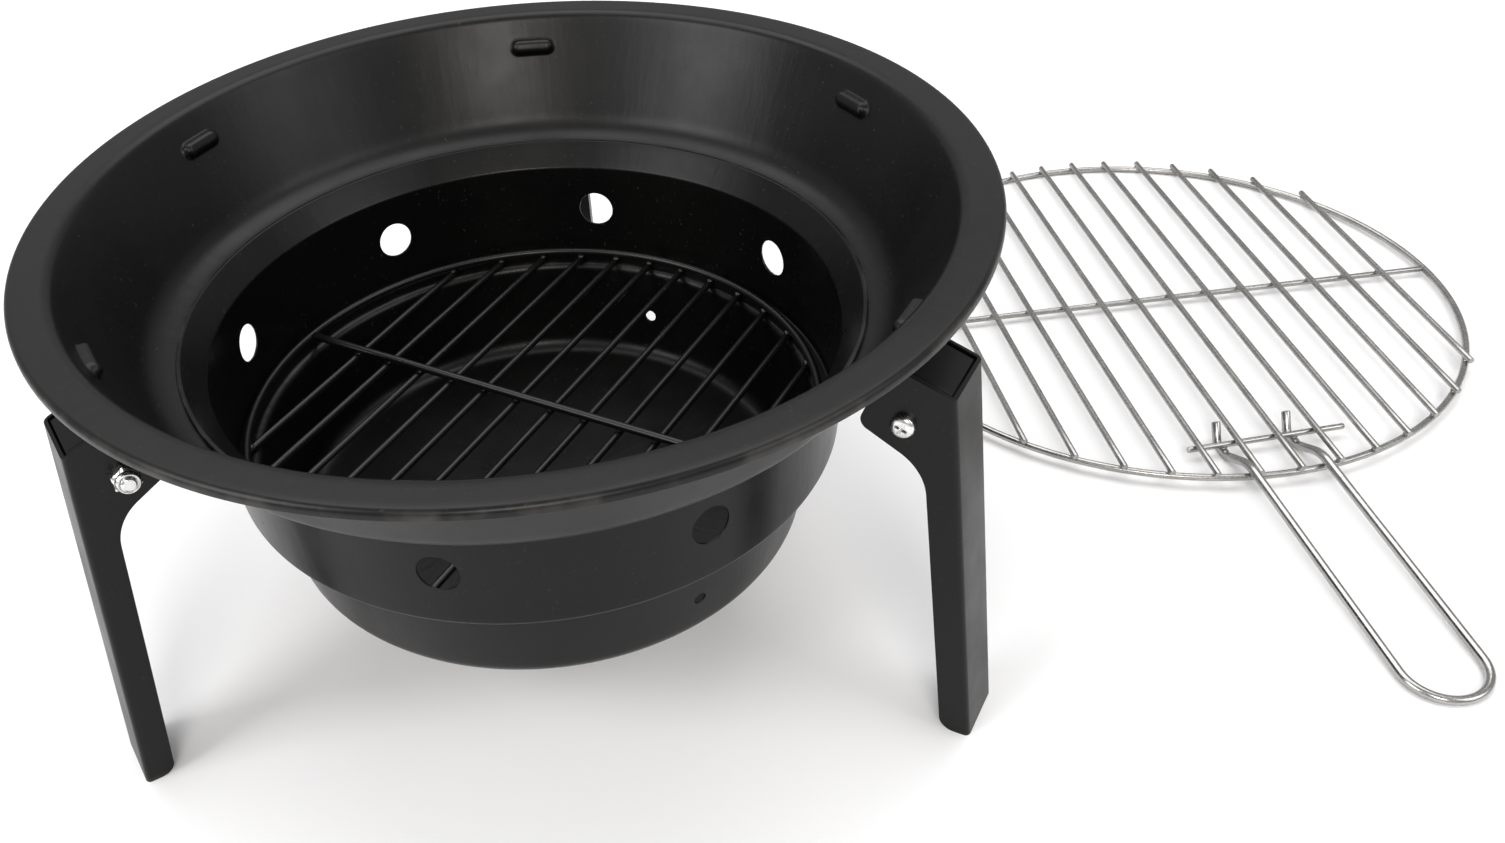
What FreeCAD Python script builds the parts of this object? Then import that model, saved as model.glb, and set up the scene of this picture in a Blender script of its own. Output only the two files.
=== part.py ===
import FreeCAD, Part
import math
import os

import Sketcher
from FreeCAD import Placement, Rotation, Vector

# Portable fire pit: a steel ring on three folding legs, a lift-out fire bowl with a charcoal
# grate, and a cooking grate that lies on the ground beside it with its lifting handle hooked in.
#
# Frame: millimetres, +Z up. The origin is on the ground, on the axis of the ring. One leg
# stands at the back, near +Y, the others at the left and the right of the front.

SIZES = [
    # outer ring
    ("rim_height", 258.0, "top of the rim above the ground"),
    ("rim_radius", 237.5, "outside of the rim"),
    ("rim_width", 19.5, "flat top of the rim"),
    ("rim_drop", 5.0, "down-turned edge of the rim"),
    ("ring_sheet", 1.2, "sheet thickness of the ring"),
    ("ledge_depth", 64.2, "rim top down to the ledge that carries the bowl"),
    ("cone_foot_radius", 189.2, "inside of the sloping wall where it meets the ledge"),
    ("ledge_edge_radius", 176.3, "inner edge of the ledge"),
    ("rim_round", 3.0, "bend at the rim's outer edge"),
    ("mouth_round", 6.0, "bend from the rim into the wall"),
    ("cone_foot_round", 18.5, "bend from the wall into the ledge"),
    ("bump_count", 6, "pressed bumps that carry the cooking grate"),
    ("bump_depth", 17.0, "bump axis below the rim top"),
    ("bump_axis_radius", 209.7, "bump axis from the ring's axis"),
    ("bump_length", 25.0, "length of a bump over its round ends"),
    ("bump_radius", 3.9, "radius of a bump's section"),
    ("bump_turn", 88.5, "angle of the first bump from +X"),
    # fire bowl
    ("bowl_sheet", 1.2, "sheet thickness of the bowl"),
    ("bowl_shift", 0.6, "the bowl lies this far towards +X on the ledge"),
    ("lip_radius", 178.2, "outside of the bowl's hemmed lip"),
    ("lip_gap", 0.1, "play between the lip and the ledge"),
    ("lip_height", 2.4, "hemmed lip"),
    ("lip_round", 1.0, "round of the lip"),
    ("band_radius", 175.8, "top of the sloping band, at the lip"),
    ("wall_radius", 165.5, "inside of the vented wall"),
    ("wall_top", 183.8, "corner between the wall and the sloping band"),
    ("wall_round", 1.5, "bend between the wall and the band"),
    ("step_height", 124.2, "top of the step that carries the charcoal grate"),
    ("step_round", 2.0, "inner bend between the wall and the step"),
    ("pan_mouth_radius", 153.5, "inside of the pan at the step"),
    ("pan_mouth_round", 4.0, "bend from the step down into the pan, on its underside"),
    ("pan_floor_radius", 145.5, "inside of the pan at its floor"),
    ("pan_floor_height", 66.0, "top of the pan's floor"),
    ("pan_round", 10.0, "bend from the pan's wall to its floor"),
    ("vent_count", 8, "round vents in the wall"),
    ("vent_height", 156.4, "vent axis above the ground"),
    ("vent_diameter", 21.0, "vent"),
    ("vent_turn", 32.2, "angle of the first vent from +X"),
    ("drain_count", 3, "drain holes in the pan's wall"),
    ("drain_height", 93.0, "drain hole axis above the ground"),
    ("drain_diameter", 7.0, "drain hole"),
    ("drain_turn", 63.45, "angle of the first drain hole from +X"),
    # legs
    ("leg_count", 3, "legs, brackets and pivots"),
    ("leg_top_radius", 238.0, "outer face of the web at its top"),
    ("leg_top_height", 213.2, "top of the web"),
    ("leg_top_rise", 0.34, "rise of the leg's top towards the ring, per length"),
    ("foot_radius", 269.6, "outer face of the web on the ground"),
    ("leg_width", 37.0, "channel width across the cheeks"),
    ("leg_sheet", 1.8, "sheet thickness of the leg"),
    ("leg_depth", 16.2, "channel depth below the knee"),
    ("knee_height", 171.5, "corner where the cheek widens into the ear"),
    ("ear_foot_radius", 194.0, "inner end of the ear, at its foot"),
    ("ear_foot_height", 189.0, "foot of the ear's inner end"),
    ("ear_top_radius", 206.5, "inner end of the ear, at its top"),
    ("knee_round", 28.0, "hollow curve at the knee"),
    ("ear_round", 6.0, "round of the ear's foot"),
    ("foot_round", 9.0, "round at the inside of the foot"),
    ("fold_round", 3.0, "outside of the channel's folds"),
    ("pivot_radius", 216.0, "pivot axis from the ring's axis"),
    ("pivot_height", 194.5, "pivot axis above the ground"),
    ("pivot_hole", 8.1, "pivot holes in the leg and the bracket"),
    ("detent_radius", 203.6, "detent hole from the ring's axis"),
    ("detent_height", 200.6, "detent hole above the ground"),
    ("detent_hole", 4.0, "detent hole in each cheek"),
    # brackets
    ("bracket_sheet", 1.5, "sheet thickness of the bracket"),
    ("bracket_gap", 0.4, "play between bracket and cheek, each side"),
    ("bracket_top_gap", 0.5, "bracket top below the leg's top"),
    ("bracket_nose_radius", 235.0, "outer end of the bracket"),
    ("bracket_nose_height", 192.0, "lower end of the bracket's nose"),
    ("bracket_fold_round", 2.5, "outside of the bracket's folds"),
    # pivot screws and lock nuts
    ("screw_diameter", 7.9, "shank"),
    ("screw_length", 46.0, "shank length"),
    ("screw_tip", 1.0, "chamfer at the shank's end"),
    ("head_diameter", 12.0, "pan head"),
    ("head_height", 4.2, "pan head"),
    ("head_round", 2.8, "domed edge of the head"),
    ("recess_span", 6.4, "cross recess, tip to tip"),
    ("recess_slot", 1.4, "width of a recess slot"),
    ("recess_depth", 2.2, "cross recess"),
    ("nut_across_flats", 13.0, "hexagon"),
    ("nut_hex_height", 5.6, "hexagon"),
    ("nut_height", 8.0, "hexagon and collar"),
    ("nut_collar_diameter", 11.7, "round collar"),
    ("nut_bore", 7.96, "bore of the nut"),
    ("nylon_diameter", 10.0, "nylon ring outside"),
    ("nylon_bore", 7.98, "nylon ring inside"),
    ("nylon_start", 5.6, "nylon ring's lower face in the nut"),
    ("nylon_height", 1.8, "nylon ring"),
    # charcoal grate
    ("charcoal_turn", 59.5, "direction of its bars from +X"),
    ("charcoal_shift", -1.2, "the grate lies this far towards +X on the step"),
    ("charcoal_bar_count", 12, "bars, on the step"),
    ("charcoal_bar_pitch", 22.3, "bar spacing"),
    ("charcoal_bar_wire", 4.0, "bar wire"),
    ("charcoal_bar_reach", 160.0, "bar ends from the grate's axis"),
    ("charcoal_ring_radius", 158.1, "axis of the ring wire, on top of the bars"),
    ("charcoal_ring_wire", 4.5, "ring wire"),
    ("charcoal_cross_wire", 4.8, "crossbar on top of the bars"),
    # cooking grate
    ("grate_place_x", 440.6, "grate centre from the ring's axis"),
    ("grate_place_y", 245.1, "grate centre from the ring's axis"),
    ("grate_turn", 4.6, "turn of the grate on the ground"),
    ("grate_ring_radius", 208.5, "axis of the ring wire"),
    ("grate_ring_wire", 4.5, "ring wire"),
    ("grate_bar_count", 14, "bars"),
    ("grate_bar_pitch", 26.5, "bar spacing"),
    ("grate_bar_wire", 4.0, "bar wire"),
    ("grate_bar_reach", 211.6, "bar ends from the grate's centre"),
    ("grate_cross_wire", 4.0, "crossbar under the bars"),
    # lifting handle
    ("handle_across", 3.5, "handle's middle right of the grate's middle"),
    ("handle_back", 172.8, "cross wire in front of the grate's middle"),
    ("handle_turn", 3.2, "turn of the handle against the bars"),
    ("handle_wire", 5.5, "handle wire"),
    ("handle_span", 48.0, "spacing of the two legs"),
    ("handle_reach", 225.2, "cross wire to the end of the loop"),
    ("handle_crest_reach", 28.2, "cross wire to the crest of the legs"),
    ("handle_crest_height", 13.9, "corner of the legs' axis at the crest"),
    ("handle_crest_bend", 30.0, "bend of the legs at the crest"),
    ("hook_front", 6.2, "flat foot of the hook in front of the cross wire"),
    ("hook_back", 7.7, "flat foot of the hook behind the cross wire"),
    ("hook_bend", 8.0, "bend in front of the flat foot"),
    ("prong_bend", 4.0, "bend from the flat foot to the prong"),
    ("prong_rise", 11.6, "height of a prong's tip above the foot's axis"),
    ("prong_lean", 34.0, "lean of the prongs from upright"),
    ("cross_wire", 4.0, "cross wire in the hooks"),
    ("cross_wire_length", 106.0, "cross wire"),
    ("cross_wire_shift", 4.0, "cross wire's middle right of the handle's middle"),
]

LEGS = [("back", 87.2), ("left", 210.0), ("right", 330.0)]

doc = FreeCAD.newDocument("fire_pit")
sheet = doc.addObject("Spreadsheet::Sheet", "sizes")
for row, (alias, value, meaning) in enumerate(SIZES, start=1):
    sheet.set(f"A{row}", meaning)
    sheet.set(f"B{row}", str(value))
    sheet.setAlias(f"B{row}", alias)
doc.recompute()


# ---------------------------------------------------------------- helpers

def size(alias):
    """A driving dimension as a number."""
    return float(sheet.get(alias))


def cell(alias):
    """A driving dimension as it is named in an expression."""
    return f"sizes.{alias}"


def new_body(label):
    body = doc.addObject("PartDesign::Body", label)
    body.Label = label
    return body


def origin_plane(body, role):
    return next(item for item in body.Origin.OriginFeatures if item.Role == role)


def new_sketch(body, name, role):
    sketch = body.newObject("Sketcher::SketchObject", name)
    sketch.AttachmentSupport = [(origin_plane(body, role), "")]
    sketch.MapMode = "FlatFace"
    return sketch


def pin_point(sketch, curve, end, across, up):
    """Hold one end point at (across, up) from the sketch's origin, by expressions."""
    for kind, rule, axis in (("DistanceX", across, -2), ("DistanceY", up, -1)):
        if rule == "0":
            sketch.addConstraint(Sketcher.Constraint("PointOnObject", curve, end, axis))
            continue
        value = float(sheet.evalExpression(rule))
        number = sketch.addConstraint(Sketcher.Constraint(kind, -1, 1, curve, end, value))
        sketch.setExpression(f"Constraints[{number}]", rule)


def outline(body, name, corners, role="XZ_Plane"):
    """A closed outline of straight edges, whose corners are pairs of expressions."""
    sketch = new_sketch(body, name, role)
    at = [Vector(*(float(sheet.evalExpression(rule)) for rule in corner), 0) for corner in corners]
    for here, there in zip(at, at[1:] + at[:1]):
        sketch.addGeometry(Part.LineSegment(here, there), False)
    for number in range(len(corners)):
        following = (number + 1) % len(corners)
        sketch.addConstraint(Sketcher.Constraint("Coincident", number, 2, following, 1))
    for number, (across, up) in enumerate(corners):
        pin_point(sketch, number, 1, across, up)
    return sketch


def circle(body, name, across, up, diameter, role="XZ_Plane"):
    sketch = new_sketch(body, name, role)
    centre = Vector(float(sheet.evalExpression(across)), float(sheet.evalExpression(up)), 0)
    round_hole = Part.Circle(centre, Vector(0, 0, 1), float(sheet.evalExpression(diameter)) / 2)
    sketch.addGeometry(round_hole, False)
    pin_point(sketch, 0, 3, across, up)
    number = sketch.addConstraint(Sketcher.Constraint("Diameter", 0, 2 * round_hole.Radius))
    sketch.setExpression(f"Constraints[{number}]", diameter)
    return sketch


def turned(body, kind, sketch):
    """A Revolution or Groove of the sketch about the body's Z axis."""
    feature = body.newObject(f"PartDesign::{kind}", f"{sketch.Name}_turned")
    feature.Profile = sketch
    feature.ReferenceAxis = (sketch, ["V_Axis"])
    feature.Angle = 360.0
    doc.recompute()
    return feature


def pad_across(body, sketch, width):
    """Pad the sketch by the width, half to each side of its plane."""
    feature = body.newObject("PartDesign::Pad", f"{sketch.Name}_pad")
    feature.Profile = sketch
    feature.Midplane = True
    feature.setExpression("Length", width)
    doc.recompute()
    return feature


def cut_across(body, sketch, width=None):
    """Cut the sketch to both sides of its plane, right through or by the given width."""
    before = body.Shape.Volume
    feature = body.newObject("PartDesign::Pocket", f"{sketch.Name}_cut")
    feature.Profile = sketch
    feature.Midplane = True
    if width is None:
        feature.Type = "ThroughAll"
    else:
        feature.setExpression("Length", width)
    doc.recompute()
    if body.Shape.Volume >= before:
        raise RuntimeError(f"{feature.Name} cuts nothing")
    return feature


def polar(body, features, count, angle):
    """Repeat features about the body's Z axis: count of them, over the angle."""
    pattern = body.newObject("PartDesign::PolarPattern", f"{features[0].Name}_round")
    pattern.Originals = features
    z_axis = next(item for item in body.Origin.OriginFeatures if item.Role == "Z_Axis")
    pattern.Axis = (z_axis, [""])
    pattern.setExpression("Occurrences", count)
    pattern.setExpression("Angle", angle)
    body.Tip = pattern
    doc.recompute()
    return pattern


def round_edges(body, name, radius, places):
    """Fillet the edge of the body's last feature that lies at each place."""
    base = body.Tip
    edges = []
    for place in places:
        spot = Part.Vertex(place)
        distance = [edge.distToShape(spot)[0] for edge in base.Shape.Edges]
        nearest = distance.index(min(distance))
        if distance[nearest] > 0.01:
            raise RuntimeError(f"{name}: no edge at {place}")
        edges.append(f"Edge{nearest + 1}")
    feature = body.newObject("PartDesign::Fillet", name)
    feature.Base = (base, edges)
    feature.setExpression("Radius", radius)
    doc.recompute()
    return feature


def bend_round(body, name, sheet_size, inner_radius, inner_corner, outer_corner):
    """Round one bend of a turned sheet: the radius inside it, and one sheet more outside."""
    for side, corner, radius in (
        ("in", inner_corner, inner_radius),
        ("out", outer_corner, f"{inner_radius} + {sheet_size}"),
    ):
        across, up = (float(sheet.evalExpression(rule)) for rule in corner)
        round_edges(body, f"{name}_{side}", radius, [Vector(0, across, up)])


def upright(azimuth):
    return Placement(Vector(), Rotation(Vector(0, 0, 1), azimuth))


# ---------------------------------------------------------------- outer ring

def sheet_shift(sheet_size, lean):
    """How far the outer corner of a leaning sheet stands outside its inner corner."""
    return f"({sheet_size} * (sqrt(1 + ({lean})^2) - ({lean})))"


RIM = cell("rim_height")
RING_SHEET = cell("ring_sheet")
MOUTH = f"({cell('rim_radius')} - {cell('rim_width')})"
CONE_LEAN = f"(({MOUTH} - {cell('cone_foot_radius')}) / {cell('ledge_depth')})"
RING_SHIFT = sheet_shift(RING_SHEET, CONE_LEAN)
LEDGE = f"({RIM} - {cell('ledge_depth')})"


def cone_outside(height):
    """Outer radius of the ring's sloping wall at a height, as an expression."""
    return f"({MOUTH} + {RING_SHIFT} - {CONE_LEAN} * ({RIM} - {RING_SHEET} - {height}))"


def capsule(body, kind, name, radius):
    """A round-ended bump lying across +X, turned about its own axis."""
    sketch = new_sketch(body, name, "YZ_Plane")
    sketch.setExpression("AttachmentOffset.Base.y", f"{RIM} - {cell('bump_depth')}")
    sketch.setExpression("AttachmentOffset.Base.z", cell("bump_axis_radius"))
    bend = float(sheet.evalExpression(radius))
    half = size("bump_length") / 2 - size("bump_radius")
    tip = half + bend
    slant = bend * math.sqrt(0.5)
    start = Vector(-tip, 0, 0)
    low = Vector(-half, bend, 0)
    high = Vector(half, bend, 0)
    end = Vector(tip, 0, 0)
    sketch.addGeometry(Part.Arc(start, Vector(-half - slant, slant, 0), low), False)
    sketch.addGeometry(Part.LineSegment(low, high), False)
    sketch.addGeometry(Part.Arc(high, Vector(half + slant, slant, 0), end), False)
    sketch.addGeometry(Part.LineSegment(end, start), False)
    feature = body.newObject(f"PartDesign::{kind}", f"{name}_turned")
    feature.Profile = sketch
    feature.ReferenceAxis = (sketch, ["H_Axis"])
    feature.Angle = 360.0
    doc.recompute()
    return feature


def make_outer_ring():
    body = new_body("outer_ring")
    rim_under = f"{RIM} - {RING_SHEET}"
    hem = f"{RIM} - {cell('rim_drop')}"
    rim_inside = f"{cell('rim_radius')} - {RING_SHEET}"
    foot_outside = f"{cell('cone_foot_radius')} + {RING_SHIFT}"
    ledge_under = f"{LEDGE} - {RING_SHEET}"
    section = outline(body, "ring_section", [
        (cell("rim_radius"), hem),
        (cell("rim_radius"), RIM),
        (MOUTH, RIM),
        (cell("cone_foot_radius"), LEDGE),
        (cell("ledge_edge_radius"), LEDGE),
        (cell("ledge_edge_radius"), ledge_under),
        (foot_outside, ledge_under),
        (f"{MOUTH} + {RING_SHIFT}", rim_under),
        (rim_inside, rim_under),
        (rim_inside, hem),
    ])
    turned(body, "Revolution", section)
    bend_round(body, "rim_bend", RING_SHEET, f"{cell('rim_round')} - {RING_SHEET}",
               (rim_inside, rim_under), (cell("rim_radius"), RIM))
    bend_round(body, "mouth_bend", RING_SHEET, f"{cell('mouth_round')} - {RING_SHEET}",
               (f"{MOUTH} + {RING_SHIFT}", rim_under), (MOUTH, RIM))
    bend_round(body, "foot_bend", RING_SHEET, cell("cone_foot_round"),
               (cell("cone_foot_radius"), LEDGE), (foot_outside, ledge_under))
    # Each bump is pressed in from outside: full on the inside, flush and
    # then hollow on the outside.
    bump = capsule(body, "Revolution", "bump", cell("bump_radius"))
    polar(body, [bump], cell("bump_count"), "360")
    high = f"({RIM} - {cell('bump_depth')} + 2 * {cell('bump_radius')})"
    low = f"({RIM} - {cell('bump_depth')} - 2 * {cell('bump_radius')})"
    outside = outline(body, "outside_trim", [
        (cone_outside(low), low),
        (cone_outside(high), high),
        (f"{cone_outside(high)} + 5", high),
        (f"{cone_outside(high)} + 5", low),
    ])
    turned(body, "Groove", outside)
    dent = capsule(body, "Groove", "dent", f"{cell('bump_radius')} - {RING_SHEET}")
    polar(body, [dent], cell("bump_count"), "360")
    body.Placement = upright(size("bump_turn"))
    return body


# ---------------------------------------------------------------- fire bowl

def make_fire_bowl():
    body = new_body("fire_bowl")
    thick = cell("bowl_sheet")
    floor = cell("pan_floor_height")
    step = cell("step_height")
    mouth = cell("pan_mouth_radius")
    wall = cell("wall_radius")
    band = cell("band_radius")
    wall_top = cell("wall_top")
    lip_under = f"({LEDGE} + {cell('lip_gap')})"
    lip_top = f"({lip_under} + {cell('lip_height')})"
    pan_lean = f"(({mouth} - {cell('pan_floor_radius')}) / ({step} - {floor}))"
    shift = sheet_shift(thick, pan_lean)
    floor_under = f"{floor} - {thick}"
    step_under = f"{step} - {thick}"
    # The band leans out from the wall's top to the lip; its underside is one sheet below it.
    band_lean = f"(({band} - {wall}) / ({lip_top} - {wall_top}))"
    band_drop = f"({thick} * sqrt(1 + {band_lean}^2) / {band_lean})"
    under_start = f"({wall_top} - {band_drop} + {thick} / {band_lean})"
    under_end = f"({wall} + {band_lean} * ({lip_under} + {band_drop} - {wall_top}))"
    section = outline(body, "bowl_section", [
        (cell("lip_radius"), lip_top),
        (band, lip_top),
        (wall, wall_top),
        (wall, step),
        (mouth, step),
        (cell("pan_floor_radius"), floor),
        ("0", floor),
        ("0", floor_under),
        (f"{cell('pan_floor_radius')} + {shift}", floor_under),
        (f"{mouth} + {shift}", step_under),
        (f"{wall} + {thick}", step_under),
        (f"{wall} + {thick}", under_start),
        (under_end, lip_under),
        (cell("lip_radius"), lip_under),
    ])
    turned(body, "Revolution", section)
    rim = size("lip_radius")
    low, high = (float(sheet.evalExpression(rule)) for rule in (lip_under, lip_top))
    round_edges(body, "lip_round", cell("lip_round"), [Vector(0, rim, low), Vector(0, rim, high)])
    bend_round(body, "wall_bend", thick, cell("wall_round"),
               (f"{wall} + {thick}", under_start), (wall, wall_top))
    bend_round(body, "step_bend", thick, cell("step_round"),
               (wall, step), (f"{wall} + {thick}", step_under))
    bend_round(body, "pan_mouth_bend", thick, cell("pan_mouth_round"),
               (f"{mouth} + {shift}", step_under), (mouth, step))
    bend_round(body, "pan_bend", thick, cell("pan_round"),
               (cell("pan_floor_radius"), floor),
               (f"{cell('pan_floor_radius')} + {shift}", floor_under))
    # One cut right through makes two opposite vents, so half the count makes them all.
    vent = circle(body, "vent", "0", cell("vent_height"), cell("vent_diameter"))
    vents = cut_across(body, vent)
    polar(body, [vents], f"{cell('vent_count')} / 2",
          f"360 * ({cell('vent_count')} / 2 - 1) / {cell('vent_count')}")
    # The vents were cut along the body's Y axis; a drain hole goes through one wall only.
    vent_axis = 90.0
    drain_hole = circle(body, "drain", "0", cell("drain_height"), cell("drain_diameter"))
    aim = Rotation(Vector(0, 1, 0), size("drain_turn") - size("vent_turn"))
    drain_hole.AttachmentOffset = Placement(Vector(), aim)
    before = body.Shape.Volume
    drain = body.newObject("PartDesign::Pocket", "drain_cut")
    drain.Profile = drain_hole
    drain.setExpression("Length", f"{cell('pan_mouth_radius')} + 10")
    doc.recompute()
    if body.Shape.Volume >= before:
        raise RuntimeError("the drain hole cuts nothing")
    polar(body, [drain], cell("drain_count"), "360")
    shifted = Placement(Vector(size("bowl_shift"), 0, 0), Rotation())
    body.Placement = shifted * upright(size("vent_turn") - vent_axis)
    return body


# ---------------------------------------------------------------- legs and brackets
# Both are drawn in the plane of a leg on +X and then turned to its azimuth.

SPLAY = f"(({cell('foot_radius')} - {cell('leg_top_radius')}) / {cell('leg_top_height')})"
WEB = f"({cell('leg_sheet')} * sqrt(1 + {SPLAY}^2))"


def leg_top(radius):
    """Top of the leg at a distance from the ring's axis, as an expression."""
    rise = f"{cell('leg_top_rise')} * ({cell('leg_top_radius')} - ({radius}))"
    return f"({cell('leg_top_height')} + {rise})"


def web_outside(height):
    """Outer face of the web at a height, as an expression."""
    return f"({cell('leg_top_radius')} + {SPLAY} * ({cell('leg_top_height')} - {height}))"


def make_leg(name, azimuth):
    body = new_body(f"leg_{name}")
    top = cell("leg_top_height")
    knee = cell("knee_height")
    foot_inside = f"{cell('foot_radius')} - {cell('leg_depth')}"
    knee_inside = f"{web_outside(knee)} - {cell('leg_depth')}"
    side = outline(body, f"side_{name}", [
        (cell("leg_top_radius"), top),
        (cell("foot_radius"), "0"),
        (foot_inside, "0"),
        (knee_inside, knee),
        (cell("ear_foot_radius"), cell("ear_foot_height")),
        (cell("ear_top_radius"), leg_top(cell("ear_top_radius"))),
    ])
    pad_across(body, side, cell("leg_width"))
    for corner, radius, across, up in (
        ("knee", "knee_round", knee_inside, knee),
        ("ear", "ear_round", cell("ear_foot_radius"), cell("ear_foot_height")),
        ("toe", "foot_round", foot_inside, "0"),
    ):
        place = Vector(float(sheet.evalExpression(across)), 0, float(sheet.evalExpression(up)))
        round_edges(body, f"{corner}_{name}", cell(radius), [place])
    beyond_ear = f"{cell('ear_foot_radius')} - {cell('leg_depth')}"
    above = f"({top} + 30)"
    channel = outline(body, f"channel_{name}", [
        (f"{web_outside(above)} - {WEB}", above),
        (f"{web_outside('0')} - {WEB}", "0"),
        (beyond_ear, "0"),
        (beyond_ear, above),
    ])
    cut_across(body, channel, f"{cell('leg_width')} - 2 * {cell('leg_sheet')}")
    middle = size("leg_top_height") / 2
    web_middle = float(sheet.evalExpression(web_outside(f"{middle}")))
    web_inner = web_middle - float(sheet.evalExpression(WEB))
    outer_half = size("leg_width") / 2
    inner_half = outer_half - size("leg_sheet")
    for fold, radius, across, half in (
        ("outer_fold", cell("fold_round"), web_middle, outer_half),
        ("inner_fold", f"{cell('fold_round')} - {cell('leg_sheet')}", web_inner, inner_half),
    ):
        places = [Vector(across, half, middle), Vector(across, -half, middle)]
        round_edges(body, f"{fold}_{name}", radius, places)
    pivot = circle(body, f"pivot_{name}", cell("pivot_radius"), cell("pivot_height"),
                   cell("pivot_hole"))
    cut_across(body, pivot)
    detent = circle(body, f"detent_{name}", cell("detent_radius"), cell("detent_height"),
                    cell("detent_hole"))
    cut_across(body, detent)
    body.Placement = upright(azimuth)
    return body


def make_leg_bracket(name, azimuth):
    body = new_body(f"leg_bracket_{name}")
    width = f"({cell('leg_width')} - 2 * {cell('leg_sheet')} - 2 * {cell('bracket_gap')})"
    nose = cell("bracket_nose_radius")
    inside_wall = f"({cell('cone_foot_radius')} + 3)"

    def top(radius):
        return f"({leg_top(radius)} - {cell('bracket_top_gap')})"

    # The cheek ends follow the ear of the leg, which hides them.
    side = outline(body, f"bracket_side_{name}", [
        (inside_wall, top(inside_wall)),
        (nose, top(nose)),
        (nose, cell("bracket_nose_height")),
        (f"{nose} - 5.5", f"{cell('bracket_nose_height')} - 14"),
        (f"{nose} - 29.5", f"{cell('bracket_nose_height')} - 2"),
        (f"{cell('ear_foot_radius')} + 3", f"{LEDGE} + 3"),
    ])
    pad_across(body, side, width)
    # The inner end is cut to the cone of the ring's wall, where it is welded on.
    low = f"({LEDGE} + 2)"
    high = f"({top(inside_wall)} + 2)"
    wall = outline(body, f"bracket_wall_{name}", [
        (cone_outside(low), low),
        (cone_outside(high), high),
        (cell("wall_radius"), high),
        (cell("wall_radius"), low),
    ])
    turned(body, "Groove", wall)
    plate_drop = f"{cell('bracket_sheet')} * sqrt(1 + {cell('leg_top_rise')}^2)"
    beyond = f"({nose} + 5)"
    hollow = outline(body, f"bracket_hollow_{name}", [
        (beyond, f"{top(beyond)} - {plate_drop}"),
        (beyond, f"{top(beyond)} - 60"),
        (cell("wall_radius"), f"{top(beyond)} - 60"),
        (cell("wall_radius"), f"{top(cell('wall_radius'))} - {plate_drop}"),
    ])
    cut_across(body, hollow, f"{width} - 2 * {cell('bracket_sheet')}")
    across = size("pivot_radius")
    outer_half = float(sheet.evalExpression(width)) / 2
    inner_half = outer_half - size("bracket_sheet")
    outer_up = float(sheet.evalExpression(top(cell("pivot_radius"))))
    inner_up = outer_up - float(sheet.evalExpression(plate_drop))
    for fold, radius, half, up in (
        ("top_fold", cell("bracket_fold_round"), outer_half, outer_up),
        ("under_fold", f"{cell('bracket_fold_round')} - {cell('bracket_sheet')}",
         inner_half, inner_up),
    ):
        places = [Vector(across, half, up), Vector(across, -half, up)]
        round_edges(body, f"{fold}_{name}", radius, places)
    pivot = circle(body, f"bracket_pivot_{name}", cell("pivot_radius"), cell("pivot_height"),
                   cell("pivot_hole"))
    cut_across(body, pivot)
    body.Placement = upright(azimuth)
    return body


# ---------------------------------------------------------------- pivot hardware
# Screws, nuts and nylon rings are drawn along +Z and then laid along the pivot.

def along_pivot(azimuth, start):
    """Place a piece drawn along +Z on a leg's pivot axis, from the given distance along it."""
    lay = Placement(Vector(size("pivot_radius"), start, size("pivot_height")),
                    Rotation(Vector(0, 0, 1), Vector(0, 1, 0)))
    return upright(azimuth) * lay


def make_pivot_screw(name, azimuth):
    body = new_body(f"pivot_screw_{name}")
    head = cell("head_height")
    shank = f"({cell('screw_diameter')} / 2)"
    tip = cell("screw_tip")
    end = f"({head} + {cell('screw_length')})"
    head_radius = f"({cell('head_diameter')} / 2)"
    section = outline(body, f"screw_section_{name}", [
        ("0", "0"),
        (head_radius, "0"),
        (head_radius, head),
        (shank, head),
        (shank, f"{end} - {tip}"),
        (f"{shank} - {tip}", end),
        ("0", end),
    ])
    turned(body, "Revolution", section)
    round_edges(body, f"head_dome_{name}", cell("head_round"),
                [Vector(0, size("head_diameter") / 2, 0)])
    for number, (long_side, short_side) in enumerate((("Length", "Width"), ("Width", "Length"))):
        slot = body.newObject("PartDesign::SubtractiveBox", f"slot_{name}_{number}")
        slot.setExpression(long_side, cell("recess_span"))
        slot.setExpression(short_side, cell("recess_slot"))
        slot.setExpression("Height", cell("recess_depth"))
        slot.setExpression("Placement.Base.x", "-Length / 2")
        slot.setExpression("Placement.Base.y", "-Width / 2")
        doc.recompute()
    body.Placement = along_pivot(azimuth, -size("leg_width") / 2 - size("head_height"))
    return body


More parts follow.
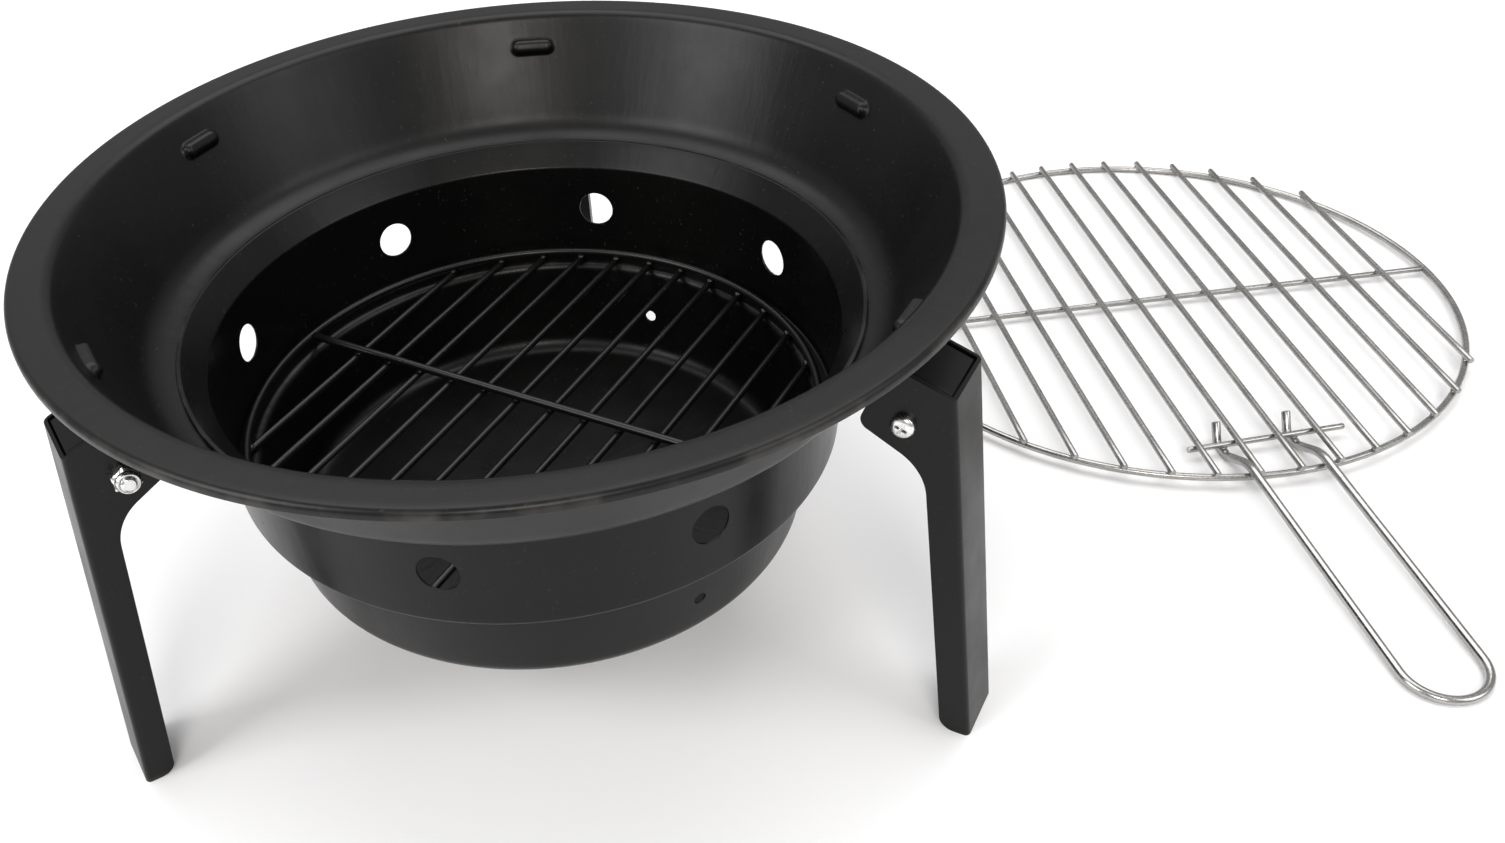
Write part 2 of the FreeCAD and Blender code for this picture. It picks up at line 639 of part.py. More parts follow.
def make_lock_nut(name, azimuth):
    body = new_body(f"lock_nut_{name}")
    hexagon = body.newObject("PartDesign::AdditivePrism", f"hexagon_{name}")
    hexagon.Polygon = 6
    hexagon.setExpression("Circumradius", f"{cell('nut_across_flats')} / sqrt(3)")
    hexagon.setExpression("Height", cell("nut_hex_height"))
    doc.recompute()
    collar = body.newObject("PartDesign::AdditiveCylinder", f"collar_{name}")
    collar.setExpression("Radius", f"{cell('nut_collar_diameter')} / 2")
    collar.setExpression("Height", cell("nut_height"))
    doc.recompute()
    for hole, bore, start, end in (
        ("bore", cell("nut_bore"), "0", cell("nut_height")),
        ("seat", cell("nylon_diameter"), cell("nylon_start"),
         f"{cell('nylon_start')} + {cell('nylon_height')}"),
        ("mouth", f"{cell('nylon_diameter')} - 0.8",
         f"{cell('nylon_start')} + {cell('nylon_height')}", cell("nut_height")),
    ):
        cut = body.newObject("PartDesign::SubtractiveCylinder", f"{hole}_{name}")
        cut.setExpression("Radius", f"{bore} / 2")
        cut.setExpression("Height", f"{end} - {start}")
        cut.setExpression("Placement.Base.z", start)
        doc.recompute()
    body.Placement = along_pivot(azimuth, size("leg_width") / 2)
    return body


def make_nylon_ring(name, azimuth):
    body = new_body(f"nylon_ring_{name}")
    inside = f"{cell('nylon_bore')} / 2"
    outside = f"{cell('nylon_diameter')} / 2"
    top = cell("nylon_height")
    section = outline(body, f"nylon_section_{name}", [
        (inside, "0"),
        (outside, "0"),
        (outside, top),
        (inside, top),
    ])
    turned(body, "Revolution", section)
    body.Placement = along_pivot(azimuth, size("leg_width") / 2 + size("nylon_start"))
    return body


# ---------------------------------------------------------------- welded wire grates
# Each grate is drawn about its own centre, with its bars along its own Y axis.

def make_wire_ring(label, radius, wire, bottom, place):
    ring = doc.addObject("Part::Torus", label)
    ring.Label = label
    ring.setExpression("Radius1", cell(radius))
    ring.setExpression("Radius2", f"{cell(wire)} / 2")
    ring.Placement = place * Placement(Vector(0, 0, bottom + size(wire) / 2), Rotation())
    return ring


def make_bars(label, prefix, axis_height, place):
    """Parallel bars whose ends lie on a circle, as one group of separate rods."""
    count = int(size(f"{prefix}_bar_count"))
    rods = []
    for number in range(count):
        offset = f"({number - (count - 1) / 2} * {cell(f'{prefix}_bar_pitch')})"
        half = f"sqrt({cell(f'{prefix}_bar_reach')}^2 - {offset}^2)"
        rod = doc.addObject("Part::Cylinder", f"{prefix}_bar_{number + 1}")
        rod.setExpression("Radius", f"{cell(f'{prefix}_bar_wire')} / 2")
        rod.setExpression("Height", f"2 * {half}")
        rod.Placement = Placement(Vector(0, 0, axis_height), Rotation(Vector(1, 0, 0), -90))
        rod.setExpression("Placement.Base.x", offset)
        rod.setExpression("Placement.Base.y", f"-{half}")
        rods.append(rod)
    group = doc.addObject("Part::Compound", label)
    group.Label = label
    group.Links = rods
    group.Placement = place
    return group


def make_crossbar(label, wire, reach, axis_height, place):
    rod = doc.addObject("Part::Cylinder", label)
    rod.Label = label
    rod.setExpression("Radius", f"{wire} / 2")
    rod.setExpression("Height", f"2 * {reach}")
    half = float(sheet.evalExpression(reach))
    rod.Placement = place * Placement(Vector(-half, 0, axis_height),
                                      Rotation(Vector(0, 1, 0), 90))
    return rod


def make_charcoal_grate():
    """The bars lie on the step; the ring and the crossbar are welded on top of them."""
    place = Placement(Vector(size("charcoal_shift"), 0, size("step_height")),
                      Rotation(Vector(0, 0, 1), size("charcoal_turn") - 90))
    bar = size("charcoal_bar_wire")
    ring_inside = f"({cell('charcoal_ring_radius')} - {cell('charcoal_ring_wire')} / 2)"
    return [
        make_bars("charcoal_grate_bars", "charcoal", bar / 2, place),
        make_wire_ring("charcoal_grate_ring", "charcoal_ring_radius", "charcoal_ring_wire",
                       bar, place),
        make_crossbar("charcoal_grate_crossbar", cell("charcoal_cross_wire"), ring_inside,
                      bar + size("charcoal_cross_wire") / 2, place),
    ]


def grate_tilt():
    """The hooks and the cross wire lift the grate's front; its back edge is on the ground."""
    lift = size("handle_wire") + size("cross_wire") - size("grate_ring_wire")
    return math.degrees(math.atan2(lift, size("handle_back") + size("grate_ring_radius")))


def make_cooking_grate():
    back_edge = Vector(0, size("grate_ring_radius"), 0)
    tilt = Placement(back_edge, Rotation(Vector(1, 0, 0), -grate_tilt()))
    place = grate_place() * tilt * Placement(-back_edge, Rotation())
    bars_axis = size("grate_ring_wire") + size("grate_bar_wire") / 2
    cross_axis = size("grate_ring_wire") - size("grate_cross_wire") / 2
    ring_inside = f"({cell('grate_ring_radius')} - {cell('grate_ring_wire')} / 2)"
    return [
        make_wire_ring("cooking_grate_ring", "grate_ring_radius", "grate_ring_wire", 0, place),
        make_bars("cooking_grate_bars", "grate", bars_axis, place),
        make_crossbar("cooking_grate_crossbar", cell("grate_cross_wire"), ring_inside,
                      cross_axis, place),
    ]


def grate_place():
    return Placement(Vector(size("grate_place_x"), size("grate_place_y"), 0),
                     Rotation(Vector(0, 0, 1), size("grate_turn")))


# ---------------------------------------------------------------- lifting handle
# Drawn with the cross wire's middle above its origin, along X, and the loop towards -Y.

def handle_place():
    hook = Placement(Vector(size("handle_across"), -size("handle_back"), 0),
                     Rotation(Vector(0, 0, 1), size("handle_turn")))
    return grate_place() * hook


def rounded_path(corners):
    """A wire of straight runs joined by tangent arcs, from (point, bend radius) pairs."""
    edges = []
    start = corners[0][0]
    for (before, _), (corner, radius), (after, _) in zip(corners, corners[1:], corners[2:]):
        back = (before - corner).normalize()
        onward = (after - corner).normalize()
        half_angle = back.getAngle(onward) / 2
        length = radius / math.tan(half_angle)
        bisector = (back + onward).normalize()
        middle = corner + bisector * (radius / math.sin(half_angle) - radius)
        arc_start = corner + back * length
        arc_end = corner + onward * length
        edges.append(Part.makeLine(start, arc_start))
        edges.append(Part.Arc(arc_start, middle, arc_end).toShape())
        start = arc_end
    edges.append(Part.makeLine(start, corners[-1][0]))
    return Part.Wire(edges)


def make_handle_wire():
    half = size("handle_span") / 2
    floor = size("handle_wire") / 2
    lean_back = size("prong_rise") * math.tan(math.radians(size("prong_lean")))
    side = [
        ((size("hook_back") + lean_back, floor + size("prong_rise")), 0),
        ((size("hook_back"), floor), size("prong_bend")),
        ((-size("hook_front"), floor), size("hook_bend")),
        ((-size("handle_crest_reach"), size("handle_crest_height")), size("handle_crest_bend")),
        ((-size("handle_reach") + floor, floor), half - 0.05),
    ]
    left = [(Vector(-half, y, z), radius) for (y, z), radius in side]
    right = [(Vector(half, y, z), radius) for (y, z), radius in reversed(side)]
    path = rounded_path(left + right)
    tip = left[0][0]
    section = Part.Wire([Part.makeCircle(floor, tip, left[1][0] - tip)])
    solid = path.makePipeShell([section], True, False)
    wire = doc.addObject("Part::Feature", "handle_wire")
    wire.Label = "handle_wire"
    wire.Shape = solid
    wire.Placement = handle_place()
    return wire


def make_handle_cross_wire():
    height = size("handle_wire") + size("cross_wire") / 2
    middle = Placement(Vector(size("cross_wire_shift"), 0, 0), Rotation())
    half_length = f"({cell('cross_wire_length')} / 2)"
    return make_crossbar("handle_cross_wire", cell("cross_wire"), half_length, height,
                         handle_place() * middle)


# ---------------------------------------------------------------- build, check, write

subparts = [make_outer_ring(), make_fire_bowl()]
for name, azimuth in LEGS:
    subparts += [
        make_leg_bracket(name, azimuth),
        make_leg(name, azimuth),
        make_pivot_screw(name, azimuth),
        make_lock_nut(name, azimuth),
        make_nylon_ring(name, azimuth),
    ]
subparts += make_charcoal_grate()
subparts += make_cooking_grate()
subparts += [make_handle_wire(), make_handle_cross_wire()]
doc.recompute()

for item in doc.Objects:
    if "Invalid" in item.State or "Error" in item.State:
        raise RuntimeError(f"{item.Name} did not compute")
for part in subparts:
    if part.Shape.isNull() or not part.Shape.isValid():
        raise RuntimeError(f"{part.Label} has no valid shape")

os.makedirs("parts", exist_ok=True)
for part in subparts:
    part.Shape.exportStep(f"parts/{part.Label}.step")
    print(f"{part.Label}: {len(part.Shape.Solids)} solid(s), {part.Shape.Volume / 1000:.2f} cm3")
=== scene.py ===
import bpy
import bmesh
import math
import random
from mathutils import Matrix, Vector


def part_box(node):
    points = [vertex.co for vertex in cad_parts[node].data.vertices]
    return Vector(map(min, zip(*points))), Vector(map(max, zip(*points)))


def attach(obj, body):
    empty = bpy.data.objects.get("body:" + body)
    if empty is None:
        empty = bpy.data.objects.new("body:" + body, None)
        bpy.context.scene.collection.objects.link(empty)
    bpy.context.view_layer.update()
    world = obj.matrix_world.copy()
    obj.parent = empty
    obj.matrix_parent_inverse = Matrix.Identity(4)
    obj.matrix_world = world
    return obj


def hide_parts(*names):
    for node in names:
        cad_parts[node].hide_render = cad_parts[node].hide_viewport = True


# A portable fire pit: black pressed-steel ring on three folding channel legs, lift-out fire
# bowl with a charcoal grate, and a bright wire cooking grate lying beside it with its handle.
# Lengths are written in millimetres and turned into metres by MM.

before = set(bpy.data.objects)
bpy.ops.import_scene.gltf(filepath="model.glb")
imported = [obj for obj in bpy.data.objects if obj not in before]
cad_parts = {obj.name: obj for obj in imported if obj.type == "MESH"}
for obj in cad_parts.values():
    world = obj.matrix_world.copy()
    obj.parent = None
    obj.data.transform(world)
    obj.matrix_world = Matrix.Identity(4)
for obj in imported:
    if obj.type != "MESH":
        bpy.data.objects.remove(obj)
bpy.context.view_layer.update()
MM = 0.001
random.seed(7)

RIM_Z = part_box("outer_ring")[1].z / MM
STEP_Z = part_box("charcoal_grate_bars")[0].z / MM
LEGS = {"back": 87.2, "left": 210.0, "right": 330.0}


# ------------------------------------------------------------------ mesh helpers

def add_object(name, verts, faces, material, body, nodes=(), sharp=35.0, scale=MM):
    """A mesh piece with smooth faces, and sharp edges where the faces meet steeper than sharp."""
    mesh = bpy.data.meshes.new(name)
    mesh.from_pydata([(x * scale, y * scale, z * scale) for x, y, z in verts], [], faces)
    mesh.validate()
    obj = bpy.data.objects.new(name, mesh)
    bpy.context.scene.collection.objects.link(obj)
    obj.data.materials.append(material)
    bm = bmesh.new()
    bm.from_mesh(mesh)
    bmesh.ops.recalc_face_normals(bm, faces=bm.faces)
    mark_sharp(bm, sharp)
    bm.to_mesh(mesh)
    bm.free()
    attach(obj, body)
    if nodes:
        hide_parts(*nodes)
    return obj


def mark_sharp(bm, degrees):
    limit = math.radians(degrees)
    for face in bm.faces:
        face.smooth = True
    for edge in bm.edges:
        if len(edge.link_faces) == 2:
            edge.smooth = edge.calc_face_angle(0.0) < limit


def bevel(obj, width, segments=2, angle=35.0):
    """Round the sharp edges of a piece, keeping its flat faces flat."""
    mod = obj.modifiers.new("soft_edges", "BEVEL")
    mod.width = width * MM
    mod.segments = segments
    mod.limit_method = "ANGLE"
    mod.angle_limit = math.radians(angle)
    mod.harden_normals = True
    return obj


def rounded(corners, steps=6):
    """An open path through (x, y, radius) corners, with the corners rounded."""
    path = [corners[0][:2]]
    for (ax, ay, _), (bx, by, radius), (cx, cy, _) in zip(corners, corners[1:], corners[2:]):
        if radius <= 0:
            path.append((bx, by))
            continue
        back = Vector((ax - bx, ay - by)).normalized()
        on = Vector((cx - bx, cy - by)).normalized()
        half = back.angle(on) / 2
        centre = Vector((bx, by)) + (back + on).normalized() * (radius / math.sin(half))
        start = Vector((bx, by)) + back * (radius / math.tan(half))
        end = Vector((bx, by)) + on * (radius / math.tan(half))
        first, last = start - centre, end - centre
        turn = first.angle_signed(last)
        for step in range(steps + 1):
            swing = -turn * step / steps
            spoke = Matrix.Rotation(swing, 2) @ first
            path.append(tuple(centre + spoke))
    path.append(corners[-1][:2])
    return path


def finer(path, longest, bands=()):
    """Split long runs of a path; inside a band (low z, high z) they are split to its length."""
    out = [path[0]]
    for (ax, ay), (bx, by) in zip(path, path[1:]):
        length = math.hypot(bx - ax, by - ay)
        pieces = max(1, math.ceil(length / longest))
        marks = {k / pieces for k in range(1, pieces + 1)}
        for low, high, spacing in bands:
            if abs(by - ay) < 1e-6:
                continue
            count = max(1, round((high - low) / spacing))
            for k in range(count + 1):
                z = low + (high - low) * k / count
                share = (z - ay) / (by - ay)
                if 0 < share < 1:
                    marks = {m for m in marks if not 0 < abs(m - share) * length < spacing / 2
                             or m == 1.0}
                    marks.add(share)
        out += [(ax + (bx - ax) * m, ay + (by - ay) * m) for m in sorted(marks)]
    return out


def lathe(profile, angles, shape=None, loop=False):
    """Verts and quads of a profile of (r, z) turned through the angles, all the way round."""
    verts = []
    for r, z in profile:
        for a in angles:
            rr, zz = shape(r, z, a) if shape else (r, z)
            verts.append((rr * math.cos(a), rr * math.sin(a), zz))
    count = len(angles)
    rows = len(profile)
    faces = []
    for i in range(rows if loop else rows - 1):
        k = (i + 1) % rows
        for j in range(count):
            n = (j + 1) % count
            faces.append((i * count + j, i * count + n, k * count + n, k * count + j))
    return verts, faces


def evenly(count, start=0.0):
    return [start + 2 * math.pi * k / count for k in range(count)]


def tube(points, radius, sides=20, closed=False, chamfer=0.5):
    """Verts and faces of a round wire along points, with slightly rounded cut ends."""
    pts = [Vector(p) for p in points]
    count = len(pts)
    tangents = []
    for k in range(count):
        before = pts[k - 1] if closed or k else pts[0]
        after = pts[(k + 1) % count] if closed or k < count - 1 else pts[-1]
        tangents.append((after - before).normalized())
    up = Vector((0, 0, 1)) if abs(tangents[0].z) < 0.9 else Vector((1, 0, 0))
    normal = (up - tangents[0] * up.dot(tangents[0])).normalized()
    rings = []
    for k in range(count):
        if k:
            normal = (normal - tangents[k] * normal.dot(tangents[k])).normalized()
        rings.append((pts[k], normal.copy(), tangents[k], radius))
    if not closed:
        rings = end_rings(rings[0], -chamfer, radius)[::-1] + rings[1:-1] \
            + end_rings(rings[-1], chamfer, radius)
    verts, faces = [], []
    for centre, n, t, r in rings:
        b = t.cross(n)
        for s in range(sides):
            a = 2 * math.pi * s / sides
            verts.append(tuple(centre + (n * math.cos(a) + b * math.sin(a)) * r))
    total = len(rings)
    for i in range(total if closed else total - 1):
        k = (i + 1) % total
        for s in range(sides):
            n = (s + 1) % sides
            faces.append((i * sides + s, i * sides + n, k * sides + n, k * sides + s))
    if not closed:
        faces.append(tuple(range(sides))[::-1])
        faces.append(tuple((total - 1) * sides + s for s in range(sides)))
    return verts, faces


def end_rings(ring, outward, radius):
    """The last rings of a wire's cut end: full size, then the rounded edge."""
    centre, n, t, _ = ring
    size = abs(outward)
    way = t * (1 if outward > 0 else -1)
    return [
        (centre - way * size, n, t, radius),
        (centre - way * size * 0.3, n, t, radius - size * 0.3),
        (centre, n, t, radius - size),
    ]


def lump(centre, across, along, size, height, tall):
    """Verts and faces of a low rounded weld lump."""
    verts, faces = [], []
    rings, sides = 6, 12
    verts.append(tuple(centre + Vector((0, 0, tall))))
    for i in range(1, rings):
        lat = math.pi * i / rings
        for s in range(sides):
            a = 2 * math.pi * s / sides
            offset = across * (math.sin(lat) * math.cos(a) * size) \
                + along * (math.sin(lat) * math.sin(a) * height)
            verts.append(tuple(centre + offset + Vector((0, 0, math.cos(lat) * tall))))
    verts.append(tuple(centre - Vector((0, 0, tall))))
    last = len(verts) - 1
    for s in range(sides):
        n = (s + 1) % sides
        faces.append((0, 1 + s, 1 + n))
        for i in range(rings - 2):
            a = 1 + i * sides
            faces.append((a + s, a + sides + s, a + sides + n, a + n))
        faces.append((last, last - sides + n, last - sides + s))
    return verts, faces


def gather(parts):
    """One list of verts and faces out of several."""
    verts, faces = [], []
    for v, f in parts:
        start = len(verts)
        verts += v
        faces += [tuple(i + start for i in face) for face in f]
    return verts, faces


def moved(part, matrix):
    verts, faces = part
    return [tuple(matrix @ Vector(v)) for v in verts], faces


# ------------------------------------------------------------------ materials

def new_material(name):
    material = bpy.data.materials.new(name)
    material.use_nodes = True
    nodes = material.node_tree.nodes
    shader = nodes["Principled BSDF"]
    return material, nodes, material.node_tree.links, shader


def noise(nodes, links, vector, scale, detail=3.0, rough=0.5):
    node = nodes.new("ShaderNodeTexNoise")
    node.inputs["Scale"].default_value = scale
    node.inputs["Detail"].default_value = detail
    node.inputs["Roughness"].default_value = rough
    links.new(vector, node.inputs["Vector"])
    return node.outputs["Fac"]


def spread(nodes, links, value, low, high, start=0.3, end=0.7):
    """Map the middle of a 0 to 1 value to the range low to high."""
    node = nodes.new("ShaderNodeMapRange")
    node.inputs["From Min"].default_value = start
    node.inputs["From Max"].default_value = end
    node.inputs["To Min"].default_value = low
    node.inputs["To Max"].default_value = high
    links.new(value, node.inputs["Value"])
    return node.outputs["Result"]


def mix_colour(nodes, links, factor, first, second):
    node = nodes.new("ShaderNodeMix")
    node.data_type = "RGBA"
    links.new(factor, node.inputs["Factor"])
    for socket, colour in ((node.inputs[6], first), (node.inputs[7], second)):
        if isinstance(colour, tuple):
            socket.default_value = (*colour, 1.0)
        else:
            links.new(colour, socket)
    return node.outputs[2]


def maths(nodes, links, operation, first, second=None):
    node = nodes.new("ShaderNodeMath")
    node.operation = operation
    for socket, value in zip(node.inputs, (first, second)):
        if value is None:
            continue
        if isinstance(value, (int, float)):
            socket.default_value = value
        else:
            links.new(value, socket)
    return node.outputs["Value"]


def bump(nodes, links, height, strength, distance, normal=None):
    node = nodes.new("ShaderNodeBump")
    node.inputs["Strength"].default_value = strength
    node.inputs["Distance"].default_value = distance
    links.new(height, node.inputs["Height"])
    if normal:
        links.new(normal, node.inputs["Normal"])
    return node.outputs["Normal"]


def turned_coordinates(nodes, links, height_scale):
    """Coordinates that follow a turned sheet: round it by angle, and up it, squeezed by a scale."""
    place = nodes.new("ShaderNodeTexCoord").outputs["Object"]
    split = nodes.new("ShaderNodeSeparateXYZ")
    links.new(place, split.inputs["Vector"])
    angle = nodes.new("ShaderNodeVectorMath")
    angle.operation = "NORMALIZE"
    flat = nodes.new("ShaderNodeCombineXYZ")
    links.new(split.outputs["X"], flat.inputs["X"])
    links.new(split.outputs["Y"], flat.inputs["Y"])
    links.new(flat.outputs["Vector"], angle.inputs[0])
    lift = nodes.new("ShaderNodeCombineXYZ")
    links.new(maths(nodes, links, "MULTIPLY", split.outputs["Z"], height_scale), lift.inputs["Z"])
    total = nodes.new("ShaderNodeVectorMath")
    total.operation = "ADD"
    links.new(angle.outputs["Vector"], total.inputs[0])
    links.new(lift.outputs["Vector"], total.inputs[1])
    return total.outputs["Vector"]


def paint(name, colour, warm, roughness, peel=0.05, streaks=0.0, shine=0.5):
    """Satin heat-resistant black paint: cloudy gloss, fine orange peel, faint dust, and lighter
    edges that are partly wear and partly painted highlight.
    """
    material, nodes, links, shader = new_material(name)
    place = nodes.new("ShaderNodeTexCoord").outputs["Object"]
    cloud = noise(nodes, links, place, 9.0, 4.0, 0.6)
    patch = noise(nodes, links, place, 38.0, 3.0, 0.55)
    fine = noise(nodes, links, place, 1400.0, 2.0, 0.5)
    speck = noise(nodes, links, place, 520.0, 1.0, 0.4)
    body = mix_colour(nodes, links, spread(nodes, links, cloud, 0.0, 1.0), colour, warm)
    dust = spread(nodes, links, speck, 0.0, 0.35, 0.70, 0.80)
    dusty = mix_colour(nodes, links, dust, body, (0.05, 0.048, 0.046))
    # The stored edge value mixes in a lighter colour: wear, and painted highlight along edges that
    # catch the light.
    edge = nodes.new("ShaderNodeAttribute")
    edge.attribute_name = "wear_and_highlight"
    wear_and_highlight_amount = maths(nodes, links, "MULTIPLY", edge.outputs["Fac"],
                 spread(nodes, links, patch, 0.0, 0.6, 0.45, 0.65))
    links.new(mix_colour(nodes, links, wear_and_highlight_amount, dusty, (0.06, 0.056, 0.052)),
              shader.inputs["Base Color"])
    gloss = spread(nodes, links, cloud, roughness - 0.05, roughness + 0.06)
    gloss = maths(nodes, links, "ADD", gloss, spread(nodes, links, patch, -0.03, 0.03))
    gloss = maths(nodes, links, "ADD", gloss, maths(nodes, links, "MULTIPLY", dust, 0.5))
    links.new(gloss, shader.inputs["Roughness"])
    normal = bump(nodes, links, fine, peel, 0.0004)
    normal = bump(nodes, links, patch, 0.035, 0.002, normal)
    if streaks:
        around = turned_coordinates(nodes, links, 1.2)
        wave = noise(nodes, links, around, 26.0, 3.0, 0.6)
        normal = bump(nodes, links, wave, streaks, 0.0012, normal)
    links.new(normal, shader.inputs["Normal"])
    shader.inputs["Specular IOR Level"].default_value = shine
    return material


def bright_wire(name, tint, shade, roughness):
    """Plated wire: bright metal with drawing marks, small grey clouds and a dulled skin."""
    material, nodes, links, shader = new_material(name)
    place = nodes.new("ShaderNodeTexCoord").outputs["Object"]
    cloud = noise(nodes, links, place, 45.0, 3.0, 0.6)
    pits = noise(nodes, links, place, 1800.0, 2.0, 0.6)
    drawn = noise(nodes, links, place, 600.0, 4.0, 0.7)
    plate = mix_colour(nodes, links, spread(nodes, links, cloud, 0.0, 1.0), tint, shade)
    stained = mix_colour(nodes, links, spread(nodes, links, drawn, 0.0, 0.35, 0.55, 0.75), plate,
                         tuple(c * 0.55 for c in shade))
    links.new(stained, shader.inputs["Base Color"])
    gloss = spread(nodes, links, drawn, roughness - 0.05, roughness + 0.12)
    links.new(gloss, shader.inputs["Roughness"])
    normal = bump(nodes, links, pits, 0.12, 0.0001)
    normal = bump(nodes, links, drawn, 0.10, 0.0003, normal)
    links.new(normal, shader.inputs["Normal"])
    shader.inputs["Metallic"].default_value = 1.0
    return material


def nylon_material():
    material, nodes, links, shader = new_material("nylon")
    place = nodes.new("ShaderNodeTexCoord").outputs["Object"]
    cloud = noise(nodes, links, place, 400.0, 3.0)
    links.new(mix_colour(nodes, links, cloud, (0.72, 0.72, 0.68), (0.58, 0.58, 0.53)),
              shader.inputs["Base Color"])
    links.new(spread(nodes, links, cloud, 0.35, 0.5), shader.inputs["Roughness"])
    links.new(bump(nodes, links, cloud, 0.1, 0.0001), shader.inputs["Normal"])
    shader.inputs["Subsurface Weight"].default_value = 0.15
    shader.inputs["Subsurface Scale"].default_value = 0.001
    return material


RING_PAINT = paint("ring_paint", (0.0030, 0.0030, 0.0032), (0.0046, 0.0043, 0.0040), 0.36, 0.05,
                   0.12, 0.24)
BOWL_PAINT = paint("bowl_paint", (0.0018, 0.0018, 0.0019), (0.0028, 0.0026, 0.0024), 0.32, 0.05,
                   0.10, 0.22)
LEG_PAINT = paint("leg_paint", (0.0018, 0.0018, 0.0018), (0.0030, 0.0027, 0.0024), 0.36, 0.06,
                  0.0, 0.22)
WIRE_PAINT = paint("charcoal_wire_paint", (0.003, 0.003, 0.003), (0.0045, 0.0043, 0.004), 0.32,
                   0.05, 0.0, 0.35)
GRATE_WIRE = bright_wire("grate_wire", (0.42, 0.41, 0.40), (0.30, 0.295, 0.285), 0.26)
HANDLE_WIRE = bright_wire("handle_chrome", (0.46, 0.45, 0.44), (0.33, 0.325, 0.315), 0.20)
ZINC = bright_wire("zinc_plate", (0.78, 0.78, 0.78), (0.62, 0.62, 0.61), 0.20)
NYLON = nylon_material()


def set_wear_and_highlight(obj, value_at):
    """Store how far the paint is lightened at each point, by wear and by painted highlight, from a
    function of the point in millimetres.
    """
    attribute = obj.data.attributes.new("wear_and_highlight", "FLOAT", "POINT")
    attribute.data.foreach_set("value", [value_at(v.co / MM) for v in obj.data.vertices])


# ------------------------------------------------------------------ outer ring

RING_SHEET = 1.2
MOUTH_R = 218.0
CONE_FOOT_R = 189.2
LEDGE_EDGE_R = 176.3
LEDGE_Z = RIM_Z - 64.2
RIM_R = 237.5
CONE_LEAN = (MOUTH_R - CONE_FOOT_R) / (RIM_Z - LEDGE_Z)
CONE_SHIFT = RING_SHEET * (math.sqrt(1 + CONE_LEAN ** 2) - CONE_LEAN)
BUMP_Z = RIM_Z - 17.0
BUMP_COUNT = 6
BUMP_PITCH = 60.0
BUMP_TURN = 28.5
BUMP_HALF = 12.5
BUMP_RADIUS = 4.1
BUMP_RISE = 4.5
# Degrees each side of a bump that get close columns, and how far its crest and skirt reach
# in shares of its radius.
BUMP_FINE = 5.0
CREST_END = 0.9
SKIRT_END = 1.25


def ring_profile():
    under = RIM_Z - RING_SHEET
    hem = RIM_Z - 5.0
    corners = [
        (RIM_R - RING_SHEET / 2, hem, 0),
        (RIM_R, hem, 0.5),
        (RIM_R, RIM_Z, 3.0),
        (MOUTH_R, RIM_Z, 6.0),
        (CONE_FOOT_R, LEDGE_Z, 18.5),
        (LEDGE_EDGE_R, LEDGE_Z, 0.45),
        (LEDGE_EDGE_R, LEDGE_Z - RING_SHEET, 0.45),
        (CONE_FOOT_R + CONE_SHIFT, LEDGE_Z - RING_SHEET, 19.7),
        (MOUTH_R + CONE_SHIFT, under, 4.8),
        (RIM_R - RING_SHEET, under, 1.8),
        (RIM_R - RING_SHEET, hem, 0.5),
        (RIM_R - RING_SHEET / 2, hem, 0),
    ]
    band = [(BUMP_Z - 6.5, BUMP_Z + 6.5, 0.45)]
    return finer(rounded(corners, 8), 3.0, band)[:-1]


def ring_angles():
    """Angles round the ring, close together across each bump."""
    angles = []
    between = BUMP_PITCH - 2 * BUMP_FINE
    for k in range(BUMP_COUNT):
        centre = math.radians(BUMP_TURN + BUMP_PITCH * k)
        angles += [centre + math.radians(BUMP_FINE * s / 22) for s in range(-22, 23)]
        angles += [centre + math.radians(BUMP_FINE + between * s / 40) for s in range(1, 40)]
    return sorted(a % (2 * math.pi) for a in angles)


def crest_rise(ratio):
    return BUMP_RISE * (1 - (ratio / 1.03) ** 3.2) ** 0.6


def pressed(r, z, a):
    """Push the wall inwards at the six bumps; the outside follows as a dent."""
    if abs(z - BUMP_Z) > 8 or r > MOUTH_R + 6:
        return r, z
    turn = math.degrees(a) - BUMP_TURN
    turn -= BUMP_PITCH * round(turn / BUMP_PITCH)
    along = math.radians(turn) * r
    up = (z - BUMP_Z) * math.sqrt(1 + CONE_LEAN ** 2)
    wall = MOUTH_R - CONE_LEAN * (RIM_Z - z)
    spare = max(0.0, abs(along) - (BUMP_HALF - BUMP_RADIUS))
    ratio = math.hypot(spare, up) / BUMP_RADIUS
    if ratio >= SKIRT_END or r < wall - 2:
        return r, z
    if ratio < CREST_END:
        rise = crest_rise(ratio)
    else:
        fall = (ratio - CREST_END) / (SKIRT_END - CREST_END)
        rise = crest_rise(CREST_END) * (1 - fall) ** 2
    slope = math.atan(CONE_LEAN)
    return r - rise * math.cos(slope), z + rise * math.sin(slope)


verts, faces = lathe(ring_profile(), ring_angles(), pressed, loop=True)
ring = add_object("ring_shell", verts, faces, RING_PAINT, "stand",
                  ["outer_ring"], sharp=60)


# Lighter paint at the rim's rolled outer edge is painted highlight and wear; at the ledge's inner
# edge it is wear.
def ring_wear_and_highlight(p):
    r = math.hypot(p.x, p.y)
    rim_edge = max(0.0, 1 - abs(r - RIM_R) / 2.0)
    ledge_edge = max(0.0, 1 - abs(r - LEDGE_EDGE_R) / 1.5)
    return max(rim_edge, ledge_edge)


set_wear_and_highlight(ring, ring_wear_and_highlight)


# ------------------------------------------------------------------ fire bowl

